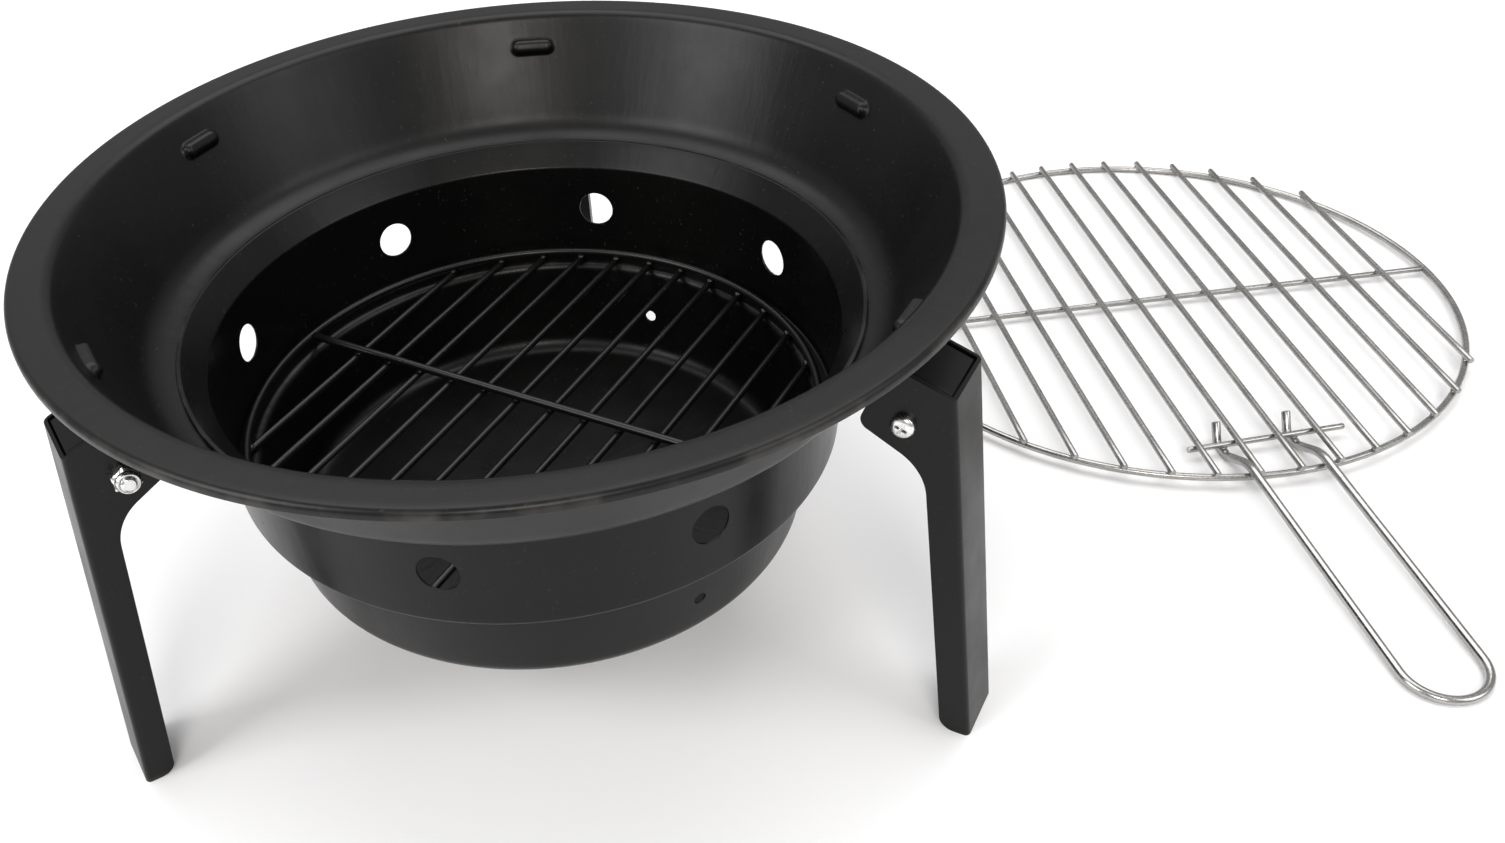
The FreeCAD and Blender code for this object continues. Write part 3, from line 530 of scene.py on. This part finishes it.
BOWL_SHEET = 1.2
BOWL_SHIFT = 0.6
WALL_R = 165.5
WALL_TOP = 183.8
BAND_R = 175.8
LIP_R = 178.2
LIP_LOW = LEDGE_Z + 0.1
LIP_TOP = LIP_LOW + 2.4
PAN_TOP_R = 153.5
PAN_LOW_R = 145.5
PAN_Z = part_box("fire_bowl")[0].z / MM + BOWL_SHEET
BOWL_SIDES = 576
VENT_COUNT = 8
VENT_Z = 156.4
VENT_R = 10.5
VENT_TURN = 32.2
DRAIN_COUNT = 3
DRAIN_Z = 93.0
DRAIN_R = 3.5
DRAIN_WALL_R = 149.2
# Columns from the first vent to the first drain hole.
DRAIN_STEP = 50
FIRST_ANGLE = math.radians(VENT_TURN)
CELL = 2 * math.pi / BOWL_SIDES
VENT_CELLS = 16
DRAIN_CELLS = 8
VENT_HALF = VENT_CELLS / 2 * CELL * WALL_R
DRAIN_HALF = DRAIN_CELLS / 2 * CELL * DRAIN_WALL_R


def bowl_profile():
    lean = (PAN_TOP_R - PAN_LOW_R) / (STEP_Z - PAN_Z)
    shift = BOWL_SHEET * (math.sqrt(1 + lean ** 2) - lean)
    out = WALL_R + BOWL_SHEET
    band_lean = (BAND_R - WALL_R) / (LIP_TOP - WALL_TOP)
    drop = BOWL_SHEET * math.sqrt(1 + band_lean ** 2) / band_lean
    corners = [
        (0.01, PAN_Z, 0),
        (PAN_LOW_R, PAN_Z, 10.0),
        (PAN_TOP_R, STEP_Z, 5.2),
        (WALL_R, STEP_Z, 2.0),
        (WALL_R, WALL_TOP, 2.7),
        (BAND_R, LIP_TOP, 0.9),
        (LIP_R, LIP_TOP, 0.85),
        (LIP_R, LIP_LOW, 0.85),
        (WALL_R + band_lean * (LIP_LOW + drop - WALL_TOP), LIP_LOW, 0.3),
        (out, WALL_TOP - drop + BOWL_SHEET / band_lean, 1.5),
        (out, STEP_Z - BOWL_SHEET, 3.2),
        (PAN_TOP_R + shift, STEP_Z - BOWL_SHEET, 4.0),
        (PAN_LOW_R + shift, PAN_Z - BOWL_SHEET, 11.2),
        (0.01, PAN_Z - BOWL_SHEET, 0),
    ]
    bands = [
        (VENT_Z - VENT_HALF, VENT_Z + VENT_HALF, 2 * VENT_HALF / VENT_CELLS),
        (DRAIN_Z - DRAIN_HALF, DRAIN_Z + DRAIN_HALF, 2 * DRAIN_HALF / DRAIN_CELLS),
    ]
    return finer(rounded(corners, 10), 4.0, bands)


def row_at(profile, z, inner):
    """The profile row at a height on the inner or the outer side of the sheet."""
    turning = max(range(len(profile)), key=lambda k: profile[k][0])
    rows = range(turning) if inner else range(turning, len(profile))
    return min((k for k in rows if profile[k][0] > 100), key=lambda k: abs(profile[k][1] - z))


def cut_hole(verts, faces, profile, centre_cell, cells, z, half, radius):
    """Open a round hole with softened edges through both faces of the bowl's wall."""
    gone = set()
    rims = []
    centre_angle = FIRST_ANGLE + centre_cell * CELL
    for inner in (True, False):
        ends = sorted((row_at(profile, z - half, inner), row_at(profile, z + half, inner)))
        rows = list(range(ends[0], ends[1] + 1))
        if len(rows) != cells + 1:
            raise RuntimeError(f"{len(rows)} rows for a hole of {cells} cells")
        columns = [(centre_cell - cells // 2 + k) % BOWL_SIDES for k in range(cells + 1)]
        for i in rows[:-1]:
            gone |= {i * BOWL_SIDES + j for j in columns[:-1]}
        loop = [(rows[0], c) for c in columns] + [(r, columns[-1]) for r in rows[1:]]
        loop += [(rows[-1], c) for c in columns[-2::-1]] + [(r, columns[0]) for r in rows[-2:0:-1]]
        first = [i * BOWL_SIDES + j for i, j in loop]
        slope = (profile[rows[-1]][0] - profile[rows[0]][0]) \
            / (profile[rows[-1]][1] - profile[rows[0]][1])
        wall = profile[rows[0]][0] + slope * (z - profile[rows[0]][1])
        flat = []
        for number in first:
            x, y, zz = verts[number]
            swing = math.atan2(y, x) - centre_angle
            swing = (swing + math.pi) % (2 * math.pi) - math.pi
            flat.append((swing * wall, zz - z))
        inward = 0.3 if inner else -0.3
        previous = first
        for share, shrink, sink in ((0.3, 0, 0), (0.6, 0, 0), (0.85, 0, 0), (1, 0.45, 0),
                                    (1, 0.3, 0.0), (1, 0.1, 0.33), (1, 0, 1)):
            ring_of = []
            for u, v in flat:
                length = math.hypot(u, v)
                goal = radius + shrink
                reach = length + (goal - length) * share
                cu, cv = u / length * reach, v / length * reach
                r = wall + slope * cv + inward * sink
                a = centre_angle + cu / wall
                ring_of.append(len(verts))
                verts.append((r * math.cos(a), r * math.sin(a), z + cv))
            for k in range(len(flat)):
                n = (k + 1) % len(flat)
                faces.append((previous[k], previous[n], ring_of[n], ring_of[k]))
            previous = ring_of
        rims.append(previous)
    # The two faces run their rows in opposite directions, so match the rims by place.
    inside, outside = rims
    first = min(range(len(outside)), key=lambda k: math.dist(verts[outside[k]], verts[inside[0]]))
    count = len(inside)
    step = min((1, -1), key=lambda way: math.dist(verts[outside[(first + way) % count]],
                                                  verts[inside[1]]))
    for k in range(count):
        n = (k + 1) % count
        faces.append((inside[k], inside[n], outside[(first + step * n) % count],
                      outside[(first + step * k) % count]))
    return gone


profile = bowl_profile()
verts, faces = lathe(profile, evenly(BOWL_SIDES, FIRST_ANGLE))
gone = set()
for k in range(VENT_COUNT):
    column = BOWL_SIDES // VENT_COUNT * k
    gone |= cut_hole(verts, faces, profile, column, VENT_CELLS, VENT_Z, VENT_HALF, VENT_R)
for k in range(DRAIN_COUNT):
    column = (DRAIN_STEP + BOWL_SIDES // DRAIN_COUNT * k) % BOWL_SIDES
    gone |= cut_hole(verts, faces, profile, column, DRAIN_CELLS, DRAIN_Z, DRAIN_HALF, DRAIN_R)
faces = [face for number, face in enumerate(faces) if number not in gone]
last_row = (len(profile) - 1) * BOWL_SIDES
faces.append(tuple(range(BOWL_SIDES)))
faces.append(tuple(last_row + j for j in range(BOWL_SIDES))[::-1])
verts = [(x + BOWL_SHIFT, y, z) for x, y, z in verts]
bowl = add_object("bowl_shell", verts, faces, BOWL_PAINT, "fire_bowl",
                  ["fire_bowl"], sharp=60)


# Lighter paint on the top of the lip and at the pan mouth's edge: painted highlight and wear.
def bowl_highlight_and_wear(p):
    r = math.hypot(p.x - BOWL_SHIFT, p.y)
    lip = max(0.0, 1 - abs(r - LIP_R) / 1.8) if p.z > LEDGE_Z + 1 else 0.0
    step_edge = max(0.0, 1 - math.hypot(r - (PAN_TOP_R + 1.5), p.z - STEP_Z) / 2.5)
    return max(lip, 0.7 * step_edge)


set_wear_and_highlight(bowl, bowl_highlight_and_wear)


# ------------------------------------------------------------------ legs

LEG_TOP = 213.2
LEG_TOP_R = 238.0
LEG_TOP_RISE = 0.34
FOOT_R = 269.6
EAR_TOP_R = 206.5
EAR_FOOT_Z = 189.0
LEG_WIDTH = 37.0
LEG_SHEET = 1.8
LEG_DEPTH = 16.2
KNEE_Z = 171.5
SPLAY = (FOOT_R - LEG_TOP_R) / LEG_TOP
WEB = LEG_SHEET * math.sqrt(1 + SPLAY ** 2)
PIVOT_R = 216.0
PIVOT_Z = 194.5
DETENT_PLACE = (203.6, 200.6)
DETENT_R = 2.4
DRILL_SIDES = 48


def web_outside(z):
    return LEG_TOP_R + SPLAY * (LEG_TOP - z)


def leg_mesh():
    """A channel leg along +X: rows up the leg, each an open U of sheet with round folds."""
    foot_in = FOOT_R - LEG_DEPTH
    ear_top = LEG_TOP + LEG_TOP_RISE * (LEG_TOP_R - EAR_TOP_R)
    edge = rounded([
        (FOOT_R, 0, 0),
        (foot_in, 0, 9.0),
        (web_outside(KNEE_Z) - LEG_DEPTH, KNEE_Z, 28.0),
        (194.0, EAR_FOOT_Z, 6.0),
        (EAR_TOP_R, ear_top, 0),
    ], 14)[1:]
    edge = finer(edge, 6.0)
    half = LEG_WIDTH / 2
    verts, rows = [], []
    for x_in, z_in in edge:
        # Above the ear's foot the rows tilt, until the last one follows the sloping top.
        share = max(0.0, (z_in - EAR_FOOT_Z) / (ear_top - EAR_FOOT_Z))
        z_web = z_in - share * (ear_top - LEG_TOP)
        out = web_outside(z_web)
        row = []
        for side_half, face_x, fold in ((half, out, 3.0), (half - LEG_SHEET, out - WEB, 1.2)):
            line = [(x_in, side_half), (x_in + (face_x - fold - x_in) * 0.5, side_half)]
            for step in range(9):
                a = math.pi / 2 * step / 8
                line.append((face_x - fold + fold * math.sin(a),
                             side_half - fold + fold * math.cos(a)))
            line += [(face_x, (side_half - fold) * s) for s in (0.5, 0.0)]
            line += [(x, -y) for x, y in line[-2::-1]]
            row.append([len(verts) + k for k in range(len(line))])
            verts += [(x, y, z_in + (z_web - z_in) * (x - x_in) / (out - x_in)) for x, y in line]
        rows.append(row)
    faces = []
    columns = len(rows[0][0])
    for (outer, inner), (outer_up, inner_up) in zip(rows, rows[1:]):
        for k in range(columns - 1):
            faces.append((outer[k], outer[k + 1], outer_up[k + 1], outer_up[k]))
            faces.append((inner[k + 1], inner[k], inner_up[k], inner_up[k + 1]))
        faces.append((outer[0], outer_up[0], inner_up[0], inner[0]))
        faces.append((outer_up[-1], outer[-1], inner[-1], inner_up[-1]))
    for outer, inner in (rows[0], rows[-1]):
        for k in range(columns - 1):
            faces.append((outer[k], outer[k + 1], inner[k + 1], inner[k]))
    return verts, faces


def cut_round(obj, places, radius, length):
    """Drill round holes along Y through a piece, at (x, z) places."""
    for x, z in places:
        count = DRILL_SIDES
        verts = [(x + radius * math.cos(a), y, z + radius * math.sin(a))
                 for y in (-length, length) for a in evenly(count)]
        faces = [(k, (k + 1) % count, count + (k + 1) % count, count + k) for k in range(count)]
        faces += [tuple(range(count))[::-1], tuple(range(count, 2 * count))]
        mesh = bpy.data.meshes.new("drill")
        mesh.from_pydata([tuple(c * MM for c in v) for v in verts], [], faces)
        drill = bpy.data.objects.new("drill", mesh)
        bpy.context.scene.collection.objects.link(drill)
        mod = obj.modifiers.new("hole", "BOOLEAN")
        mod.solver = "EXACT"
        mod.object = drill
        apply_modifiers(obj)
        bpy.data.objects.remove(drill)


def apply_modifiers(obj):
    bpy.context.view_layer.update()
    graph = bpy.context.evaluated_depsgraph_get()
    mesh = bpy.data.meshes.new_from_object(obj.evaluated_get(graph))
    obj.modifiers.clear()
    obj.data = mesh


def turn_mesh(obj, degrees):
    """Turn a piece's mesh from +X to its leg's azimuth."""
    obj.data.transform(Matrix.Rotation(math.radians(degrees), 4, "Z"))


for side, azimuth in LEGS.items():
    verts, faces = leg_mesh()
    leg = add_object(f"leg_{side}_channel", verts, faces, LEG_PAINT, f"leg_{side}",
                     [f"leg_{side}"], sharp=40)
    cut_round(leg, [DETENT_PLACE], DETENT_R, 40.0)
    turn_mesh(leg, azimuth)
    bevel(leg, 0.28, 2, 50)
    set_wear_and_highlight(leg, lambda p: max(0.0, 1 - p.z / 3.0))
    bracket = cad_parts[f"leg_bracket_{side}"]
    bracket.data.materials.clear()
    bracket.data.materials.append(LEG_PAINT)
    bevel(bracket, 0.3, 2, 40)


# ------------------------------------------------------------------ pivot screws and nuts

HEAD_R = 6.0
HEAD_H = 4.2
SHANK_R = 3.95
SHANK_LENGTH = 46.0
PITCH = 1.25
SCREW_SIDES = 64
RECESS_TURN = 20.0
# Keeps the nut's bearing face off the plane of the leg's cheek, which slides past it.
NUT_GAP = 0.02


def screw_mesh():
    """A pan-head screw along +Z from the top of its head; the cross recess is cut later."""
    head = rounded([(0.01, 0, 0), (HEAD_R * 0.55, 0.0, 4.0), (HEAD_R, 1.1, 2.4),
                    (HEAD_R, HEAD_H, 0.3), (SHANK_R, HEAD_H, 0)], 8)
    end = HEAD_H + SHANK_LENGTH
    start = end - 14
    shank = [(SHANK_R, z) for z in (HEAD_H + 20, start)]
    thread = [(SHANK_R, start + PITCH / 8 * k) for k in range(1, 86)]
    tip = [(SHANK_R - 0.6, end - 0.35), (SHANK_R - 1.1, end), (0.01, end)]

    def threaded(r, z, a):
        if r < SHANK_R - 0.01 or z < start or z > end - 0.5:
            return r, z
        phase = (z / PITCH - a / (2 * math.pi)) % 1.0
        return r - 0.65 * abs(2 * phase - 1), z

    verts, faces = lathe(head + shank + thread + tip, evenly(SCREW_SIDES), threaded)
    last_row = (len(head + shank + thread + tip) - 1) * SCREW_SIDES
    faces.append(tuple(range(SCREW_SIDES)))
    faces.append(tuple(last_row + j for j in range(SCREW_SIDES)))
    return verts, faces


def cross_cutter():
    """The tapering cross of a driver recess, pointing along +Z from above the head."""
    parts = []
    for turn in (0.0, 90.0):
        rings = []
        for z, long_half, short_half in ((-1.0, 3.6, 0.85), (0.0, 3.2, 0.8), (2.4, 1.2, 0.55)):
            rings.append([(sx * long_half, sy * short_half, z)
                          for sx, sy in ((1, 1), (-1, 1), (-1, -1), (1, -1))])
        verts = [v for ring_of in rings for v in ring_of]
        faces = [(0, 1, 2, 3), (11, 10, 9, 8)]
        for level in (0, 4):
            faces += [(level + k, level + 4 + k, level + 4 + (k + 1) % 4, level + (k + 1) % 4)
                      for k in range(4)]
        swing = Matrix.Rotation(math.radians(turn + RECESS_TURN), 4, "Z")
        parts.append(moved((verts, faces), swing))
    return parts


def cut_recess(obj):
    for verts, faces in cross_cutter():
        mesh = bpy.data.meshes.new("cutter")
        mesh.from_pydata([tuple(c * MM for c in v) for v in verts], [], faces)
        bm = bmesh.new()
        bm.from_mesh(mesh)
        bmesh.ops.recalc_face_normals(bm, faces=bm.faces)
        bm.to_mesh(mesh)
        bm.free()
        cutter = bpy.data.objects.new("cutter", mesh)
        bpy.context.scene.collection.objects.link(cutter)
        mod = obj.modifiers.new("recess", "BOOLEAN")
        mod.solver = "EXACT"
        mod.object = cutter
        apply_modifiers(obj)
        bpy.data.objects.remove(cutter)
    bm = bmesh.new()
    bm.from_mesh(obj.data)
    mark_sharp(bm, 35)
    bm.to_mesh(obj.data)
    bm.free()


def nut_mesh():
    """A lock nut: chamfered hexagon, washer-like collar and the rolled lip over its ring."""
    across = 13.0
    hex_top = 5.6
    top = 8.0
    corner_r = across / math.sqrt(3)
    profile = rounded([(4.0, 0, 0), (6.5, 0, 0), (corner_r + 0.1, 0.9, 0),
                       (corner_r + 0.1, hex_top - 1.1, 0), (5.95, hex_top, 0.3),
                       (5.85, top - 1.2, 1.0), (5.2, top, 0.5), (4.6, top, 0.2),
                       (4.6, top - 0.7, 0), (3.99, top - 0.7, 0)], 5)

    def hexed(r, z, a):
        swing = (math.degrees(a) + 30.0) % 60.0 - 30.0
        flat = across / 2 / math.cos(math.radians(swing))
        return min(r, flat), z

    return lathe(profile, evenly(72), hexed)


def nylon_mesh():
    profile = rounded([(4.0, 5.8, 0), (4.98, 5.8, 0.1), (4.98, 7.4, 0.1), (4.66, 7.62, 0.2),
                       (4.15, 7.5, 0.2), (4.0, 7.1, 0)], 4)
    return lathe(profile, evenly(64), loop=True)


def along_pivot(azimuth, start):
    """Takes a piece drawn along +Z to a leg's pivot axis."""
    lay = Matrix.Translation((PIVOT_R, start, PIVOT_Z)) @ Matrix.Rotation(math.radians(-90), 4, "X")
    return Matrix.Rotation(math.radians(azimuth), 4, "Z") @ lay


def place_mesh(obj, matrix):
    scaled = Matrix.Scale(MM, 4) @ matrix @ Matrix.Scale(1 / MM, 4)
    obj.data.transform(scaled)


for side, azimuth in LEGS.items():
    verts, faces = screw_mesh()
    screw = add_object(f"screw_{side}", verts, faces, ZINC, "stand",
                       [f"pivot_screw_{side}"], sharp=40)
    cut_recess(screw)
    place_mesh(screw, along_pivot(azimuth, -LEG_WIDTH / 2 - HEAD_H))
    verts, faces = nut_mesh()
    nut = add_object(f"nut_{side}", verts, faces, ZINC, "stand",
                     [f"lock_nut_{side}"], sharp=28)
    place_mesh(nut, along_pivot(azimuth, LEG_WIDTH / 2 + NUT_GAP))
    verts, faces = nylon_mesh()
    nylon = add_object(f"nylon_{side}", verts, faces, NYLON, "stand",
                       [f"nylon_ring_{side}"], sharp=40)
    place_mesh(nylon, along_pivot(azimuth, LEG_WIDTH / 2))


# ------------------------------------------------------------------ wire grates

def circle_points(radius, z, count=180):
    return [(radius * math.cos(a), radius * math.sin(a), z) for a in evenly(count)]


def bar_parts(count, pitch, reach, radius, z, chamfer, jitter):
    """Parallel bars along Y whose ends lie on a circle, each a touch out of true."""
    parts = []
    for k in range(count):
        x = (k - (count - 1) / 2) * pitch
        half = math.sqrt(reach ** 2 - x ** 2)
        ends = [half - abs(random.gauss(0, jitter)), half - abs(random.gauss(0, jitter))]
        bow = random.gauss(0, jitter * 0.25)
        points = []
        for step in range(13):
            share = step / 12
            y = -ends[0] + (ends[0] + ends[1]) * share
            points.append((x + bow * math.sin(math.pi * share), y, z))
        parts.append(tube(points, radius, 20, chamfer=chamfer))
    return parts


def weld_parts(count, pitch, ring_r, z, size):
    """Weld lumps where bars sit on the ring and on the crossbar."""
    across, along = Vector((1, 0, 0)), Vector((0, 1, 0))
    parts = []
    for k in range(count):
        x = (k - (count - 1) / 2) * pitch
        y = math.sqrt(ring_r ** 2 - x ** 2)
        for yy in (-y, 0.0, y):
            spot = Vector((x, yy, z))
            grow = random.uniform(0.9, 1.1)
            parts.append(lump(spot, across, along, size * 1.25 * grow, size * 1.25 * grow,
                              size * 0.62))
    return parts


CHARCOAL_RING_R = 158.1
CHARCOAL_RING_WIRE = 4.5
CHARCOAL_BAR_WIRE = 4.0
CHARCOAL_CROSS_WIRE = 4.8
CHARCOAL_BARS = (12, 22.3)
CHARCOAL_REACH = 160.0
CHARCOAL_SHIFT = -1.2
CHARCOAL_TURN = 59.5
charcoal_place = Matrix.Translation((CHARCOAL_SHIFT, 0, STEP_Z)) \
    @ Matrix.Rotation(math.radians(CHARCOAL_TURN - 90), 4, "Z")

part = tube(circle_points(CHARCOAL_RING_R, CHARCOAL_BAR_WIRE + CHARCOAL_RING_WIRE / 2),
            CHARCOAL_RING_WIRE / 2, 20, True)
verts, faces = moved(part, charcoal_place)
add_object("charcoal_ring_wire", verts, faces, WIRE_PAINT, "charcoal_grate",
           ["charcoal_grate_ring"])
parts = bar_parts(*CHARCOAL_BARS, CHARCOAL_REACH, CHARCOAL_BAR_WIRE / 2, CHARCOAL_BAR_WIRE / 2,
                  0.4, 0.35)
parts += weld_parts(*CHARCOAL_BARS, CHARCOAL_RING_R - 1.0, CHARCOAL_BAR_WIRE, 2.0)
verts, faces = moved(gather(parts), charcoal_place)
add_object("charcoal_bar_wires", verts, faces, WIRE_PAINT, "charcoal_grate",
           ["charcoal_grate_bars"])
cross_z = CHARCOAL_BAR_WIRE + CHARCOAL_CROSS_WIRE / 2
reach = CHARCOAL_RING_R - CHARCOAL_RING_WIRE / 2
part = tube([(-reach + 2 * reach * k / 24, 0, cross_z) for k in range(25)],
            CHARCOAL_CROSS_WIRE / 2, 20, chamfer=0.6)
verts, faces = moved(part, charcoal_place)
add_object("charcoal_cross_wire", verts, faces, WIRE_PAINT, "charcoal_grate",
           ["charcoal_grate_crossbar"])

GRATE_RING_R = 208.5
GRATE_RING_WIRE = 4.5
GRATE_BAR_WIRE = 4.0
GRATE_CROSS_WIRE = 4.0
GRATE_BARS = (14, 26.5)
GRATE_REACH = 211.6
GRATE_CENTRE = (440.6, 245.1, 0)
GRATE_TURN = 4.6
HANDLE_BACK = 172.8
HANDLE_WIRE_D = 5.5
CROSS_WIRE_D = 4.0
grate_turn = Matrix.Translation(GRATE_CENTRE) @ Matrix.Rotation(math.radians(GRATE_TURN), 4, "Z")
lift = HANDLE_WIRE_D + CROSS_WIRE_D - GRATE_RING_WIRE
tilt = math.atan2(lift, HANDLE_BACK + GRATE_RING_R)
back_edge = Matrix.Translation((0, GRATE_RING_R, 0))
grate_place = grate_turn @ back_edge @ Matrix.Rotation(-tilt, 4, "X") @ back_edge.inverted()

part = tube(circle_points(GRATE_RING_R, GRATE_RING_WIRE / 2, 240), GRATE_RING_WIRE / 2, 20, True)
verts, faces = moved(part, grate_place)
add_object("grate_ring_wire", verts, faces, GRATE_WIRE, "cooking_grate",
           ["cooking_grate_ring"])
bars_z = GRATE_RING_WIRE + GRATE_BAR_WIRE / 2
parts = bar_parts(*GRATE_BARS, GRATE_REACH, GRATE_BAR_WIRE / 2, bars_z, 0.4, 0.3)
parts += weld_parts(*GRATE_BARS, GRATE_RING_R, GRATE_RING_WIRE - 0.1, 1.75)
verts, faces = moved(gather(parts), grate_place)
add_object("grate_bar_wires", verts, faces, GRATE_WIRE, "cooking_grate",
           ["cooking_grate_bars"])
reach = GRATE_RING_R - GRATE_RING_WIRE / 2
part = tube([(-reach + 2 * reach * k / 24, 0, GRATE_RING_WIRE - GRATE_CROSS_WIRE / 2)
             for k in range(25)], GRATE_CROSS_WIRE / 2, 20, chamfer=0.4)
verts, faces = moved(part, grate_place)
add_object("grate_cross_wire", verts, faces, GRATE_WIRE, "cooking_grate",
           ["cooking_grate_crossbar"])


# ------------------------------------------------------------------ lifting handle

def rounded_3d(corners, steps=14):
    """A path of straight runs joined by tangent arcs, from (point, radius) pairs."""
    path = [corners[0][0]]
    for (before, _), (corner, radius), (after, _) in zip(corners, corners[1:], corners[2:]):
        back = (before - corner).normalized()
        on = (after - corner).normalized()
        half = back.angle(on) / 2
        centre = corner + (back + on).normalized() * (radius / math.sin(half))
        first = corner + back * (radius / math.tan(half)) - centre
        last = corner + on * (radius / math.tan(half)) - centre
        turn = first.angle(last)
        axis = first.cross(last).normalized()
        for step in range(steps + 1):
            path.append(centre + Matrix.Rotation(turn * step / steps, 3, axis) @ first)
    path.append(corners[-1][0])
    return path


HALF_SPAN = 24.0
HOOK_BACK = 7.7
HOOK_FRONT = 6.2
CREST = (-28.2, 13.9)
HANDLE_REACH = 225.2
PRONG_RISE = 11.6
PRONG_LEAN = math.radians(34.0)
HANDLE_ACROSS = 3.5
HANDLE_TURN = 3.2
CROSS_LENGTH = 106
CROSS_SHIFT = 4.0
floor_z = HANDLE_WIRE_D / 2
side_path = [
    ((HOOK_BACK + PRONG_RISE * math.tan(PRONG_LEAN), floor_z + PRONG_RISE), 0),
    ((HOOK_BACK, floor_z), 4.0),
    ((-HOOK_FRONT, floor_z), 8.0),
    (CREST, 30.0),
    ((-HANDLE_REACH + floor_z, floor_z), HALF_SPAN - 0.05),
]
left = [(Vector((-HALF_SPAN, y, z)), radius) for (y, z), radius in side_path]
right = [(Vector((HALF_SPAN, y, z)), radius) for (y, z), radius in reversed(side_path)]
handle_place = grate_turn @ Matrix.Translation((HANDLE_ACROSS, -HANDLE_BACK, 0)) \
    @ Matrix.Rotation(math.radians(HANDLE_TURN), 4, "Z")
path = [tuple(p) for p in rounded_3d(left + right)]
verts, faces = moved(tube(path, HANDLE_WIRE_D / 2, 24, chamfer=0.7), handle_place)
add_object("handle_loop_wire", verts, faces, HANDLE_WIRE, "lifting_handle",
           ["handle_wire"])
cross_z = HANDLE_WIRE_D + CROSS_WIRE_D / 2
cross_start = CROSS_SHIFT - CROSS_LENGTH / 2
parts = [tube([(cross_start + CROSS_LENGTH * k / 16, 0, cross_z) for k in range(17)],
              CROSS_WIRE_D / 2, 20, chamfer=0.4)]
for x in (-HALF_SPAN, HALF_SPAN):
    parts.append(lump(Vector((x, 0, HANDLE_WIRE_D)), Vector((1, 0, 0)), Vector((0, 1, 0)),
                      2.6, 2.2, 1.2))
verts, faces = moved(gather(parts), handle_place)
add_object("handle_hook_wire", verts, faces, HANDLE_WIRE, "lifting_handle",
           ["handle_cross_wire"])


# ------------------------------------------------------------------ floor, light, camera

def floor_material():
    material, nodes, links, shader = new_material("studio_floor")
    place = nodes.new("ShaderNodeTexCoord").outputs["Object"]
    cloud = noise(nodes, links, place, 1.5, 2.0)
    links.new(mix_colour(nodes, links, cloud, (0.90, 0.90, 0.905), (0.87, 0.87, 0.88)),
              shader.inputs["Base Color"])
    shader.inputs["Roughness"].default_value = 0.6
    shader.inputs["Specular IOR Level"].default_value = 0.3
    return material


FLOOR_HALF = 6
corners = [(x * FLOOR_HALF, y * FLOOR_HALF, 0) for x, y in ((-1, -1), (1, -1), (1, 1), (-1, 1))]
mesh = bpy.data.meshes.new("floor")
mesh.from_pydata(corners, [], [(0, 1, 2, 3)])
floor = bpy.data.objects.new("floor", mesh)
bpy.context.scene.collection.objects.link(floor)
floor.data.materials.append(floor_material())


def area_light(name, place, target, size, power, colour=(1, 1, 1)):
    lamp = bpy.data.lights.new(name, "AREA")
    lamp.shape = "RECTANGLE"
    lamp.size, lamp.size_y = size
    lamp.energy = power
    lamp.color = colour
    obj = bpy.data.objects.new(name, lamp)
    bpy.context.scene.collection.objects.link(obj)
    obj.location = place
    aim = (Vector(target) - Vector(place)).normalized()
    obj.rotation_mode = "QUATERNION"
    obj.rotation_quaternion = aim.to_track_quat("-Z", "Y")
    return obj


area_light("top_soft", (0.1, 0.9, 2.5), (0.1, 0.0, 0.1), (3.0, 2.0), 50.0)
area_light("left_soft", (-2.2, -1.2, 1.7), (0.0, 0.0, 0.1), (1.6, 1.6), 50.0)
area_light("right_soft", (2.3, -0.9, 1.8), (0.2, 0.0, 0.1), (1.6, 1.6), 22.0)
area_light("front_soft", (0.1, -2.2, 1.7), (0.0, 0.0, 0.2), (0.9, 0.7), 28.0, (1.0, 0.95, 0.90))

world = bpy.data.worlds.new("studio")
world.use_nodes = True
background = world.node_tree.nodes["Background"]
background.inputs["Color"].default_value = (1.0, 1.0, 1.0, 1.0)
background.inputs["Strength"].default_value = 0.48
bpy.context.scene.world = world

CAMERA_PLACE = (0.0671, -0.5889, 0.5622)
CAMERA_YAW = math.radians(2.66)
CAMERA_PITCH = 0.777
CAMERA_ROLL = -0.094
turn = Matrix.Rotation(CAMERA_YAW, 3, "Z") @ Matrix.Rotation(-CAMERA_PITCH, 3, "X")
right_way = turn @ Vector((1, 0, 0))
onward = turn @ Vector((0, 1, 0))
up_way = turn @ Vector((0, 0, 1))
level = right_way * math.cos(CAMERA_ROLL) + up_way * math.sin(CAMERA_ROLL)
upright = up_way * math.cos(CAMERA_ROLL) - right_way * math.sin(CAMERA_ROLL)
camera_data = bpy.data.cameras.new("camera")
camera_data.sensor_fit = "HORIZONTAL"
camera_data.sensor_width = 36.0
camera_data.lens = 31.15
camera_data.shift_x = 0.0857
camera_data.shift_y = 0.1083
camera_data.clip_start = 0.02
camera = bpy.data.objects.new("camera", camera_data)
bpy.context.scene.collection.objects.link(camera)
axes = Matrix((level, upright, -onward)).transposed()
camera.matrix_world = Matrix.Translation(CAMERA_PLACE) @ axes.to_4x4()
bpy.context.scene.camera = camera

bpy.context.scene.view_settings.view_transform = "Standard"
